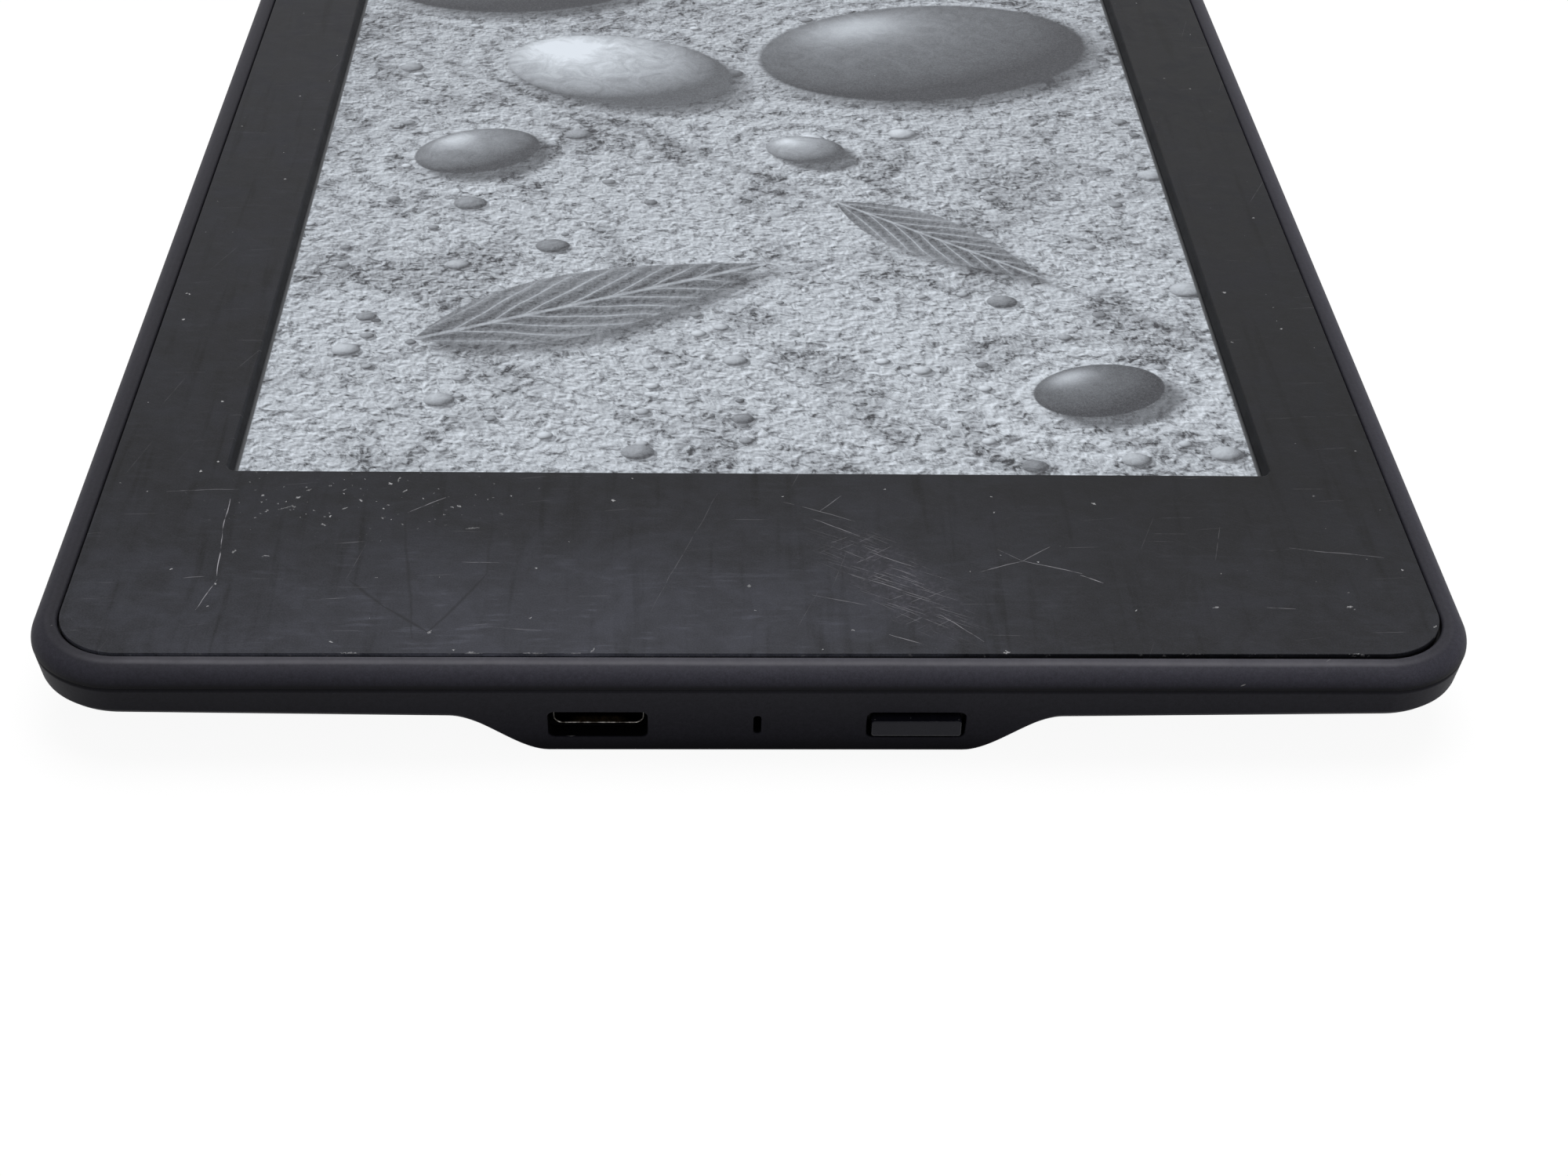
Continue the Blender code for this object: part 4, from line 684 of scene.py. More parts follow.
# The page: smooth stones and leaves on raked gravel. Each has its centre, half sizes and turn in degrees.
# A stone ends with its tone, a leaf with the count of its side veins.
STONES = (
    (22, 29, 20, 13, 14, 0.16),
    (-14, 23, 13.5, 9, -18, 0.62),
    (-29, 2, 7, 5, 25, 0.26),
    (-27, 50, 17, 11, 8, 0.1),
    (7, 3, 4.4, 3.2, -12, 0.42),
    (33, -46, 6.5, 4.4, 18, 0.12),
)
LEAVES = (
    (-15, -30, 19, 6.5, 24, 9),
    (20, -17, 13, 4.6, -38, 8),
)
STONE_LIGHT = (-0.46, 0.55, 0.7)
STONE_GLOSS = 16
SHADOW_SHIFT = (1.4, -1.8, 0)
RELIEF_SHIFT = (-0.2, 0.24, 0)
# Pebbles: the size of a cell, the largest radius in it and the share of cells that hold one.
PEBBLES = ((4.5, 0.8, 0.3), (9, 1.9, 0.3))
PEBBLE_SHIFT = (0.3, -0.4, 0)
RIPPLE_PITCH = 3.4
RIPPLE_MERGE = 5
DOT_PITCH = 0.085
PAGE_CORNER_MM = 0.2
PAPER_TONE = (0.53, 0.57, 0.62)
INK_TONE = (0.022, 0.023, 0.028)


def local_place(page, x, y, half_x, half_y, turn):
    """A place measured from a figure's centre, in its half sizes."""
    return (page - (x, y, 0)).turned(-turn) / (half_x, half_y, 1)


def leaf_width(local):
    """How far inside a leaf's outline a place lies, and its parts along and across."""
    along, across, _ = local.parts()
    across = abs(across)
    swell = (1 - along * along).clamped() * (along * -0.28 + 0.9)
    return swell - across, along, across


def dome(radius):
    """The height of a round dome at a distance from its middle."""
    return (1 - radius * radius).clamped().step("SQRT")


def pebbles(graph, page, size, largest, density):
    """Small pebbles, some cells of a pattern holding one each: their share of the ground, and their tone."""
    cell = graph.cells(size, page)
    kept, radius, body = cell.beside("Color").parts()
    reach = radius * (0.65 * largest) + 0.35 * largest
    x, y, _ = ((page - cell.beside("Position")) * (1, 1.25, 0)).parts()
    x /= reach
    y /= reach
    apart = graph.joined(x, y).length()
    lit = graph.joined(x, y, dome(apart)).dot(STONE_LIGHT).most(0)
    tone = (body * 0.7 + 0.25) * (lit * 0.9 + 0.15)
    share = apart.span(1.06, 0.94) * kept.step("GREATER_THAN", 1 - density)
    return share, tone


def stone(graph, page, shape, body):
    """A smooth stone: its share of the page, and its tone."""
    local = local_place(page, *shape)
    radius = local.length()
    facing = local.turned(shape[4]) * (1, 1, 0) + graph.joined(0, 0, dome(radius))
    lit = facing.dot(STONE_LIGHT).most(0)
    veins = graph.noise(3.5, 6, 0.66, 1.8, place=page)
    tone = (lit * 1.1 + 0.16) * (veins * 1.5 + 0.25) * body
    return radius.span(1.02, 0.98), tone + lit.step("POWER", STONE_GLOSS) * 0.42


def leaf(page, shape, count, wander):
    """A leaf with side veins: its share of the page, and its tone."""
    inside, along, across = leaf_width(local_place(page, *shape))
    veins = ((along + across * -0.75 + wander * 0.35) * (count * math.pi)).sine()
    ribs = veins.span(0.86, 0.99) * inside.span(0, 0.4, 0.2, 0.7)
    ribs = ribs.most(across.span(0.06, 0.015))
    tone = veins * 0.06 + 0.2 + (across - 0.4) * 0.16 + ribs * 0.34
    return inside.span(0, 0.03), tone


def cast_shadow(page):
    """How deep the shadows of the stones and leaves are."""
    page -= SHADOW_SHIFT
    shadow = None
    for *shape, _ in STONES:
        cast = local_place(page, *shape).length().span(1.2, 0.86)
        shadow = shadow.most(cast) if shadow else cast
    for *shape, _ in LEAVES:
        inside, _, _ = leaf_width(local_place(page, *shape))
        shadow = shadow.most(inside.span(-0.22, 0.3, 0, 0.9))
    return shadow


def raked_ripple(page, wander):
    """Waves raked round the stones, which fade away from them."""
    nearest = None
    for *shape, _ in STONES:
        apart = (local_place(page, *shape).length() - 1) * ((shape[2] + shape[3]) / 2)
        nearest = nearest.step("SMOOTH_MIN", apart, RIPPLE_MERGE) if nearest else apart
    waves = ((nearest + wander * 5) * (2 * math.pi / RIPPLE_PITCH)).sine()
    return waves * nearest.span(17, 2)


def page_tone(graph, page):
    """The page's greys, from 0, ink, to 1, paper."""
    grains = graph.noise(0.34, 3, 0.65, place=page) - 0.5
    wander = graph.noise(16, place=page) - 0.5
    shadow = cast_shadow(page)
    ripple = raked_ripple(page, wander)
    # The gravel is lit from one side, as the stones are: it pales where its height falls towards the light.
    relief = graph.noise(1, 5, 0.62, 0.5, place=page)
    slope = relief - graph.noise(1, 5, 0.62, 0.5, place=page + RELIEF_SHIFT)
    stain = (graph.noise(10, 4, 0.6, 0.5, place=page) + relief * 0.24).span(0.64, 0.72)
    level = graph.noise(1.3, 4, 0.7, 0.8, place=page.turned(30) * (0.7, 1, 1))
    pits = (level + ripple * -0.03).span(0.51, 0.59)
    tone = ripple * 0.07 + 0.65 + grains * 0.35 + slope * 1.9 + pits * -0.29 + stain * -0.22
    tone *= page.parts()[1].span(-45, 40, 1, 0.82)
    for pebble in PEBBLES:
        cast, _ = pebbles(graph, page - PEBBLE_SHIFT, *pebble)
        tone *= cast * -0.5 + 1
        share, shade = pebbles(graph, page, *pebble)
        tone = tone.towards(shade + slope * 0.4, share)
    tone *= shadow * -0.78 + 1
    for *shape, body in STONES:
        share, shade = stone(graph, page, shape, body)
        tone = tone.towards(shade + grains * 0.14, share)
    for *shape, count in LEAVES:
        share, shade = leaf(page, shape, count, wander)
        tone = tone.towards(shade + slope * 0.5 + grains * 0.4, share)
    dots = page.scaled(1 / DOT_PITCH).floor().chance()[0]
    return (tone + (dots - 0.5) * 0.07).clamped()


def page_film():
    """The matte film with the page behind it, in slightly blue greys."""
    graph = Finish("page_film")
    page = (graph.place - (0, PAGE_CENTRE_Y / MM, FILM_HIGH.z / MM)) * (1, 1, 0)
    colour = graph.blend(page_tone(graph, page), INK_TONE, PAPER_TONE)
    half_x, half_y = PAGE_HALF_WIDTH / MM, PAGE_HALF_LENGTH / MM
    edge = outline_distance(graph, half_x, half_y, PAGE_CORNER_MM, PAGE_CENTRE_Y / MM)
    colour = graph.blend(edge.span(0.08, -0.08), colour, (0.05, 0.052, 0.056))
    matte = graph.noise(0.07)
    colour = graph.blend(dust(graph, 4, 0.09, 0.12) * 0.35, colour, (0.55, 0.56, 0.58))
    return graph.finish(colour, matte * 0.14 + 0.42, graph.bump(matte, 0.004, 0.4), Specular_IOR_Level=0.2)


BUTTON_MARKS = on_cover(
    (9.35, -84.1, 3.95, 9.5, -84.1, 4, 0.9),
    (16.1, -84.1, 3.95, 16.25, -84.1, 4, 0.9),
    (12.3, -84, 4, 12.35, -83.8, 4, 0.8),
)


def button_plastic():
    """Polished black moulding with wiped smears and a few hairlines."""
    graph = Finish("button_plastic")
    smear = graph.noise(1.4, 3, 0.6, 0.5)
    hair = graph.noise(0.25, place=graph.stretched(0.08, 1))
    base = graph.toned((0.0085, 0.0085, 0.0135), smear * 0.5 + 0.75)
    specks = dust(graph, 0.9, 0.05, 0.14, False).most(line_marks(graph, graph.place, BUTTON_MARKS, 0.06))
    colour = graph.blend(specks * 0.6, base, (0.3, 0.3, 0.3))
    # The flange behind the wall is in the dark.
    depth = graph.place.parts()[1] - BUTTON_LOW.y / MM
    colour = graph.blend(depth.span(0.8, 1.2), colour, (0.001, 0.001, 0.0015))
    return graph.finish(colour, smear * 0.16 + 0.18, graph.bump(hair, 0.001, 0.4), Specular_IOR_Level=0.14)


def socket_steel():
    """Plated sheet steel, drawn along the socket: lips rubbed bright in places, the inside painted near black
    as shade, and brown soil inside.
    """
    graph = Finish("socket_steel")
    x, y, _ = graph.place.parts()
    drawn = graph.noise(0.16, 3, 0.6, place=graph.stretched(1, 0.08))
    rubbed = graph.noise(0.5, 4, 0.7).span(0.42, 0.66)
    depth = y - SOCKET_LOW.y / MM
    soil_and_shade = abs(x - SOCKET_X / MM).span(2.6, 1.6) * graph.noise(0.3, 3, 0.6)
    # Painted shade: the inside of the shell is painted near black, fully so deeper in, with brown soil near
    # the middle.
    inside_shade_and_soil = graph.blend(soil_and_shade, (0.003, 0.003, 0.003), (0.22, 0.16, 0.09))
    inside_shade_and_soil = graph.blend(depth.span(0.35, 0.75), inside_shade_and_soil, (0.003, 0.003, 0.003))
    lip = graph.blend(rubbed, (0.05, 0.045, 0.04), (0.52, 0.5, 0.47))
    colour = graph.blend(depth.span(0.05, 0.12), lip, inside_shade_and_soil)
    return graph.finish(colour, drawn * 0.2 + 0.28, graph.bump(drawn, 0.004, 0.5), Metallic=1)


def grained(name, colour, other, roughness, size, depth, metallic=0, stretch=(1, 1), **constants):
    """A material that varies between two colours over a grain of one size, with a bump of that grain."""
    graph = Finish(name)
    grain = graph.noise(size, 3, 0.6, 0.2, place=graph.stretched(*stretch))
    share = grain + (graph.noise(size * 14) - 0.5) * 0.8
    rough = (grain - 0.5) * 0.25 + roughness
    mixed = graph.blend(share.span(0.25, 0.75), colour, other)
    return graph.finish(mixed, rough, graph.bump(grain, depth, 0.6), Metallic=metallic, **constants)


# Copper tracks: angle in degrees, length, pitch, width, density and seed.
TRACKS = ((0, 6, 0.5, 0.12, 0.5, 11), (90, 5, 0.6, 0.12, 0.4, 12))
RIBBON_PITCH = 0.5


def circuit_board():
    """Green solder mask over copper tracks."""
    graph = Finish("circuit_board")
    track = scratch_fields(graph, TRACKS)
    weave = graph.noise(0.3)
    base = graph.blend(weave, (0.012, 0.085, 0.035), (0.022, 0.13, 0.06))
    colour = graph.blend(track * 0.7, base, (0.06, 0.24, 0.09))
    return graph.finish(colour, weave * 0.15 + 0.35, graph.bump(track, 0.02, 0.6))


def ribbon_film():
    """Amber polyimide film with fine copper lines along it."""
    graph = Finish("ribbon_film")
    lines = (graph.place.parts()[0] * (2 * math.pi / RIBBON_PITCH)).sine().span(0.1, 0.5)
    cloud = graph.noise(2, 3)
    base = graph.blend(cloud, (0.36, 0.16, 0.03), (0.47, 0.23, 0.06))
    colour = graph.blend(lines * 0.5, base, (0.55, 0.28, 0.1))
    return graph.finish(colour, cloud * 0.2 + 0.3, graph.bump(lines, 0.01, 0.5))


def slot_materials():
    """A material for each of the record's slots that a carried-over node uses."""
    return {
        "screen": page_film(),
        "foam": grained("foam", (0.012, 0.012, 0.012), (0.035, 0.035, 0.036), 0.95, 0.18, 0.06),
        "touch_glass": grained("touch_glass", (0.55, 0.58, 0.6), (0.62, 0.66, 0.68), 0.15, 2, 0.002),
        # Painted shade: the clear light pipe in its slot is painted near black, with no reflection.
        "clear": grained(
            "painted_shade_pipe", (2e-4, 2e-4, 2e-4), (6e-4, 6e-4, 7e-4), 0.5, 0.2, 0.004, Specular_IOR_Level=0
        ),
        "paper": grained("paper_panel", (0.55, 0.56, 0.55), (0.66, 0.67, 0.66), 0.6, 0.12, 0.004),
        "ribbon": ribbon_film(),
        "chassis": grained("cast_alloy", (0.36, 0.37, 0.38), (0.52, 0.53, 0.54), 0.45, 0.35, 0.03, 1),
        "circuit": circuit_board(),
        "pouch": grained("foil_pouch", (0.45, 0.46, 0.48), (0.6, 0.61, 0.63), 0.35, 3, 0.15, 0.85),
        "tape": grained("tape", (0.66, 0.65, 0.6), (0.8, 0.79, 0.75), 0.8, 0.25, 0.03),
        "steel": grained(
            "plated_sheet", (0.52, 0.52, 0.53), (0.66, 0.66, 0.67), 0.32, 0.2, 0.006, 1, (1, 0.08)
        ),
        "moulded": grained("moulded", (0.022, 0.022, 0.024), (0.038, 0.038, 0.041), 0.5, 0.15, 0.01),
        "led": grained("phosphor", (0.7, 0.6, 0.18), (0.85, 0.76, 0.34), 0.35, 0.12, 0.01),
        "chip": grained("chip_resin", (0.014, 0.014, 0.016), (0.032, 0.032, 0.034), 0.55, 0.1, 0.008),
        "gold": grained("gold_plate", (0.72, 0.5, 0.17), (0.86, 0.66, 0.3), 0.3, 0.15, 0.004, 1),
        "screw": grained("black_oxide", (0.05, 0.05, 0.055), (0.13, 0.13, 0.14), 0.42, 0.2, 0.01, 1),
    }


def dress_nodes(materials):
    """Gives each carried-over node the material of its slot."""
    for row in frame["record"]["subparts"]:
        made = materials.get(row["material_slot"])
        if made is None:
            continue
        mesh = frame["nodes"][row["node"]].data
        mesh.materials.clear()
        mesh.materials.append(made)


def quarter_turn(steps):
    """Angles from 0 to 90 degrees in even steps."""
    return [math.radians(90 * step / steps) for step in range(steps + 1)]


def fillet(radius):
    """Points through a rounded edge, as distances from the two faces that would meet in a sharp one.

    The first distance falls from the radius to 0, and the second grows from 0 to the radius.
    """
    turns = quarter_turn(ROUND_STEPS)
    return [(radius * (1 - math.sin(angle)), radius * (1 - math.cos(angle))) for angle in turns]


def corner_turns(steps):
    """(sign of x, sign of y, angle) round four corners, counter-clockwise from the lower right one."""
    turns = []
    for quarter, (sign_x, sign_y) in enumerate(((1, -1), (1, 1), (-1, 1), (-1, -1))):
        for step in range(steps + 1):
            turns.append((sign_x, sign_y, math.radians(90 * (quarter - 1 + step / steps))))
    return turns


def corner_point(half_x, half_y, radius, sign_x, sign_y, angle):
    x = sign_x * (half_x - radius) + radius * math.cos(angle)
    y = sign_y * (half_y - radius) + radius * math.sin(angle)
    return x, y


def rounded_loop(half_x, half_y, radius, steps=CORNER_STEPS):
    """Points round a round-cornered rectangle, counter-clockwise from the lower right corner."""
    return [corner_point(half_x, half_y, radius, *turn) for turn in corner_turns(steps)]


def level_ring(loop, z):
    return [(x, y, z) for x, y in loop]


def upright_ring(loop, centre_x, y, centre_z):
    """A loop stood up in X and Z, about a centre."""
    return [(centre_x + x, y, centre_z + z) for x, z in loop]


def rounded_polygon(corners, radius, steps=ROUND_STEPS):
    """A closed outline whose corners are rounded with arcs."""
    points = []
    for before, corner, after in zip(corners[-1:] + corners[:-1], corners, corners[1:] + corners[:1]):
        corner = Vector(corner)
        to_before = (Vector(before) - corner).normalized()
        to_after = (Vector(after) - corner).normalized()
        half = to_before.angle(to_after) / 2
        middle = corner + (to_before + to_after).normalized() * radius / math.sin(half)
        start = corner + to_before * radius / math.tan(half) - middle
        end = corner + to_after * radius / math.tan(half) - middle
        for step in range(steps + 1):
            points.append(tuple(middle + start.slerp(end, step / steps) * radius))
    return points


def loft(rings, closed=False):
    """A skin over rings of equal point counts. An open loft is capped at both ends."""
    bm = bmesh.new()
    rows = [[bm.verts.new(point) for point in ring] for ring in rings]
    pairs = list(zip(rows, rows[1:]))
    if closed:
        pairs.append((rows[-1], rows[0]))
    for first, second in pairs:
        for i in range(len(first)):
            j = (i + 1) % len(first)
            bm.faces.new((first[i], first[j], second[j], second[i]))
    if not closed:
        bm.faces.new(rows[0])
        bm.faces.new(rows[-1])
    return bm


def mesh_object(name, bm):
    bmesh.ops.recalc_face_normals(bm, faces=bm.faces)
    mesh = bpy.data.meshes.new(name)
    bm.to_mesh(mesh)
    bm.free()
    obj = bpy.data.objects.new(name, mesh)
    bpy.context.scene.collection.objects.link(obj)
    return obj


def applied(obj):
    """Applies an object's modifiers."""
    graph = bpy.context.evaluated_depsgraph_get()
    mesh = bpy.data.meshes.new_from_object(obj.evaluated_get(graph))
    obj.modifiers.clear()
    obj.data = mesh


def combined(obj, other, operation):
    """Joins or cuts one mesh with another, and removes the other."""
    modifier = obj.modifiers.new("combined", "BOOLEAN")
    modifier.operation = operation
    modifier.solver = "EXACT"
    modifier.object = other
    applied(obj)
    bpy.data.objects.remove(other)


def placed(obj, material, body, slot, *nodes):
    """Finishes a piece: smooth shading, its material, and what it rides on and stands for."""
    obj.data.materials.clear()
    obj.data.materials.append(material)
    obj.data.shade_smooth()
    obj.data.set_sharp_from_angle(angle=SHARP_ANGLE)
    flat = obj.modifiers.new("flat", "WEIGHTED_NORMAL")
    flat.keep_sharp = True
    applied(obj)
    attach(obj, body)
    if nodes:
        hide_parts(*nodes)


def wall_inset(z):
    """How far the side wall lies inside the body's outline at a height below the crease."""
    return WALL_SLANT * (Z_CREASE - z)


BACK_INSET = wall_inset(Z_EDGE) + BACK_TAPER


def land_share(x):
    """How far down the land of the port edge reaches: 1 over the ports, and EDGE_SAG beyond the slopes."""
    share = (LAND_HALF + LAND_SLOPE - abs(x)) / LAND_SLOPE
    share = min(1.0, max(0.0, share))
    return EDGE_SAG + (1 - EDGE_SAG) * share * share * (3 - 2 * share)


def back_height(inset, land):
    edge = Z_EDGE * (1 - land)
    share = (BACK_INSET - inset) / (BACK_INSET - wall_inset(edge))
    return edge * share * share


def outer_section(land):
    """(inset, height) up the outside of the cover, from the flat back to the seam."""
    edge = Z_EDGE * (1 - land)
    edge_inset = wall_inset(edge)
    section = []
    for angle in quarter_turn(TAPER_STEPS):
        inset = BACK_INSET + (edge_inset + EDGE_RADIUS - BACK_INSET) * math.sin(angle)
        section.append((inset, back_height(inset, land)))
    for across, rise in fillet(EDGE_RADIUS)[1:]:
        height = edge + rise
        section.append((edge_inset + across - WALL_SLANT * (height - edge), height))
    for step in range(GROOVE_STEPS + 1):
        share = step / GROOVE_STEPS
        height = Z_CREASE - GROOVE_HEIGHT * (1 - share)
        dip = GROOVE_DEPTH * math.sin(math.pi * share ** GROOVE_SKEW) ** 2
        section.append((wall_inset(height) + dip, height))
    roll_width = RIM_WIDTH - LIP_RADIUS
    for angle in quarter_turn(ROLL_STEPS)[1:]:
        height = Z_CREASE + (Z_RIM - Z_CREASE) * math.sin(angle)
        section.append((roll_width * (1 - math.cos(angle)), height))
    for angle in quarter_turn(ROUND_STEPS)[1:]:
        height = Z_RIM - LIP_RADIUS * (1 - math.cos(angle))
        section.append((roll_width + LIP_RADIUS * math.sin(angle), height))
    return section


def inner_section(land):
    """(inset, height) down the inside of the cover, from the bezel's seat to the floor."""
    foot = wall_inset(Z_EDGE * (1 - land)) + COVER_WALL
    section = [
        (RIM_WIDTH, Z_SEAT),
        (RIM_WIDTH + LEDGE_WIDTH, Z_SEAT),
        (RIM_WIDTH + LEDGE_WIDTH, Z_LEDGE),
        (wall_inset(Z_LEDGE) + COVER_WALL, Z_LEDGE),
    ]
    for step in range(TAPER_STEPS + 1):
        inset = foot + (BACK_INSET - foot) * step / TAPER_STEPS
        section.append((inset, back_height(inset, land) + FLOOR_THICKNESS))
    return section


def outline_columns():
    """The cover's columns: (x, land) along the lower edge, then (corner signs, angle) round the corners."""
    right = [LAND_HALF + LAND_SLOPE * step / SLOPE_STEPS for step in range(SLOPE_STEPS + 1)]
    columns = [(x, land_share(x)) for x in [-x for x in reversed(right)] + right]
    return columns + corner_turns(CORNER_STEPS)


def column_point(column, inset):
    half_y = HALF_LENGTH - inset
    if len(column) == 2:
        return column[0], -half_y
    radius = max(BODY_CORNER_RADIUS - inset, BACK_CORNER_RADIUS)
    return corner_point(HALF_WIDTH - inset, half_y, radius, *column)


def cover_rings():
    columns = outline_columns()
    sections = []
    for column in columns:
        land = column[1] if len(column) == 2 else 0.0
        sections.append(outer_section(land) + inner_section(land))
    rings = []
    for level in zip(*sections):
        ring = []
        for column, (inset, height) in zip(columns, level):
            ring.append((*column_point(column, inset), height))
        rings.append(ring)
    return rings


def port_cutter(name, half_x, half_z, radius, centre_x):
    """A cutter for an opening in the port wall, flared to leave a rounded edge on the slanted outside."""
    rings = []

    def ring(growth, depth):
        loop = rounded_loop(half_x + growth, half_z + growth, radius + growth, PORT_STEPS)
        points = []
        for x, z in loop:
            z += Z_PORT
            points.append((centre_x + x, -HALF_LENGTH + wall_inset(z) + depth, z))
        rings.append(points)

    ring(PORT_EDGE_RADIUS, -COVER_WALL)
    for growth, depth in fillet(PORT_EDGE_RADIUS):
        ring(growth, depth)
    ring(0.0, 3 * COVER_WALL)
    return mesh_object(name, loft(rings))


def gathered(name, shells):
    """One object from shells that don't meet."""
    whole = bmesh.new()
    for shell in shells:
        part = bpy.data.meshes.new(name)
        shell.to_mesh(part)
        shell.free()
        whole.from_mesh(part)
        bpy.data.meshes.remove(part)
    return mesh_object(name, whole)


def circle(centre, radius, steps=CORNER_STEPS):
    points = []
    for step in range(steps):
        angle = 2 * math.pi * step / steps
        points.append((centre.x + radius * math.cos(angle), centre.y + radius * math.sin(angle)))
    return points


def add_bosses(cover):
    """Adds the posts under the chassis screws, rooted in the middle of the floor, and their pilot holes."""
    tree = BVHTree.FromPolygons(
        [vertex.co for vertex in cover.data.vertices], [face.vertices for face in cover.data.polygons]
    )
    posts = []
    pins = []
    for number in range(1, BOSS_COUNT + 1):
        low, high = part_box(f"chassis_screw_{number}")
        centre = (low + high) / 2
        top = low.z + BOSS_RISE
        foot = []
        for x, y in circle(centre, BOSS_RADIUS):
            outside = tree.ray_cast(Vector((x, y, -COVER_WALL)), Vector((0.0, 0.0, 1.0)))[0]
            foot.append((x, y, outside.z + FLOOR_THICKNESS / 2))
        rings = [foot]
        for radius, z in ((BOSS_RADIUS, top - BOSS_CHAMFER), (BOSS_RADIUS - BOSS_CHAMFER, top)):
            rings.append(level_ring(circle(centre, radius), z))
        posts.append(loft(rings))
        hole = circle(centre, PILOT_RADIUS)
        ends = (low.z - PILOT_DROP, top + COVER_WALL)
        pins.append(loft([level_ring(hole, z) for z in ends]))
    combined(cover, gathered("bosses", posts), "UNION")
    combined(cover, gathered("pilot_holes", pins), "DIFFERENCE")


def build_cover(material):
    cover = mesh_object("cover_shell", loft(cover_rings()))
    add_bosses(cover)
    for name, half_x, half_z, radius, x in (
        ("socket_hole", PORT_WIDTH / 2, PORT_HEIGHT / 2, PORT_CORNER_RADIUS, SOCKET_X),
        ("light_slot", SLOT_WIDTH / 2, SLOT_HEIGHT / 2, SLOT_CORNER_RADIUS, 0.0),
        ("button_hole", PORT_WIDTH / 2, PORT_HEIGHT / 2, PORT_CORNER_RADIUS, BUTTON_X),
    ):
        combined(cover, port_cutter(name, half_x, half_z, radius, x), "DIFFERENCE")
    placed(cover, material, "body", "cover", "rear_cover")


def add_clips(bezel):
    """Adds the snap clips that catch under the cover's ledge."""
    z_root = Z_TOP - BEZEL_THICKNESS + CLIP_ROOT
    z_nose = Z_LEDGE - CLIP_GAP
    hook = (
        (0.0, z_root),
        (-CLIP_THICKNESS, z_root),
        (-CLIP_THICKNESS, z_nose - CLIP_NOSE),
        (0.0, z_nose - CLIP_NOSE),
        (CLIP_NOSE, z_nose),
        (0.0, z_nose),
    )
    half_x = HALF_WIDTH - CLIP_INSET
    half_y = HALF_LENGTH - CLIP_INSET
    places = [(sign * half_x, y, 90 - 90 * sign) for y in SIDE_CLIPS for sign in (1, -1)]
    places += [(x, half_y, 90) for x in TOP_CLIPS] + [(x, -half_y, 270) for x in LOWER_CLIPS]
    clips = []
    for x, y, turn in places:
        place = Matrix.Translation((x, y, 0.0)) @ Matrix.Rotation(math.radians(turn), 4, "Z")
        ends = (-CLIP_WIDTH / 2, CLIP_WIDTH / 2)
        clips.append(loft([[place @ Vector((out, side, z)) for out, z in hook] for side in ends]))
    combined(bezel, gathered("clips", clips), "UNION")


def build_bezel(material):
    z_low = Z_TOP - BEZEL_THICKNESS
    rings = []

    def outer_ring(inset, z):
        loop = rounded_loop(HALF_WIDTH - inset, HALF_LENGTH - inset, BODY_CORNER_RADIUS - inset)
        rings.append([(x, y + (SEAM_LEAN * x / HALF_WIDTH if y < 0 else 0.0), z) for x, y in loop])

    def aperture_ring(growth, z):
        side = SCREEN_BORDER + growth
        loop = rounded_loop(PAGE_HALF_WIDTH + side, PAGE_HALF_LENGTH + side, APERTURE_CORNER_RADIUS + growth)
        rings.append([(x, PAGE_CENTRE_Y + y, z) for x, y in loop])

    outer_ring(BEZEL_INSET, z_low)
    for drop, inset in fillet(BEZEL_EDGE_RADIUS):
        outer_ring(BEZEL_INSET + inset, Z_TOP - drop)
    for growth, drop in fillet(APERTURE_EDGE_RADIUS):
        aperture_ring(growth, Z_TOP - drop)
    aperture_ring(-APERTURE_SLOPE, z_low)
    bezel = mesh_object("bezel_frame", loft(rings, closed=True))
    add_clips(bezel)
    placed(bezel, material, "body", "bezel", "front_bezel")


def build_button(material):
    """The button's rounded face, the flange with its ears, and the nub that meets the switch."""
    middle_z = (BUTTON_LOW.z + BUTTON_HIGH.z) / 2
    half_z = (BUTTON_HIGH.z - BUTTON_LOW.z) / 2
    back = BUTTON_HIGH.y
    nub = back - BUTTON_NUB_LENGTH
    flange = nub - BUTTON_FLANGE
    rings = []

    def ring(half_x, y, shrink=0.0):
        radius = 2 * BUTTON_EDGE_RADIUS - shrink
        loop = rounded_loop(half_x - shrink, half_z - shrink, radius, BUTTON_STEPS)
        rings.append(upright_ring(loop, BUTTON_X, y, middle_z))

    for shrink, depth in fillet(BUTTON_EDGE_RADIUS):
        ring(BUTTON_FACE_WIDTH / 2, BUTTON_LOW.y + depth, shrink)
    ring(BUTTON_FACE_WIDTH / 2, flange)
    ring(BUTTON_HIGH.x - BUTTON_X, flange)
    ring(BUTTON_HIGH.x - BUTTON_X, nub)
    ring(BUTTON_NUB_WIDTH / 2, nub)
    ring(BUTTON_NUB_WIDTH / 2, back)
    button = mesh_object("button_cap", loft(rings))
    placed(button, material, "power_button", "button", "power_button")


def socket_loop(inset):
    """The socket's outline in X and Z: a wide top, and chamfered lower corners."""
    half_x = (SOCKET_HIGH.x - SOCKET_LOW.x) / 2 - inset
    half_z = (SOCKET_HIGH.z - SOCKET_LOW.z) / 2 - inset
    corners = [
        (-half_x + SOCKET_CHAMFER, -half_z),
        (half_x - SOCKET_CHAMFER, -half_z),
        (half_x, -half_z + SOCKET_CHAMFER),
        (half_x, half_z),
        (-half_x, half_z),
        (-half_x, -half_z + SOCKET_CHAMFER),
    ]
    return rounded_polygon(corners, max(SOCKET_CORNER_RADIUS - inset / 2, SOCKET_LEAST_RADIUS))


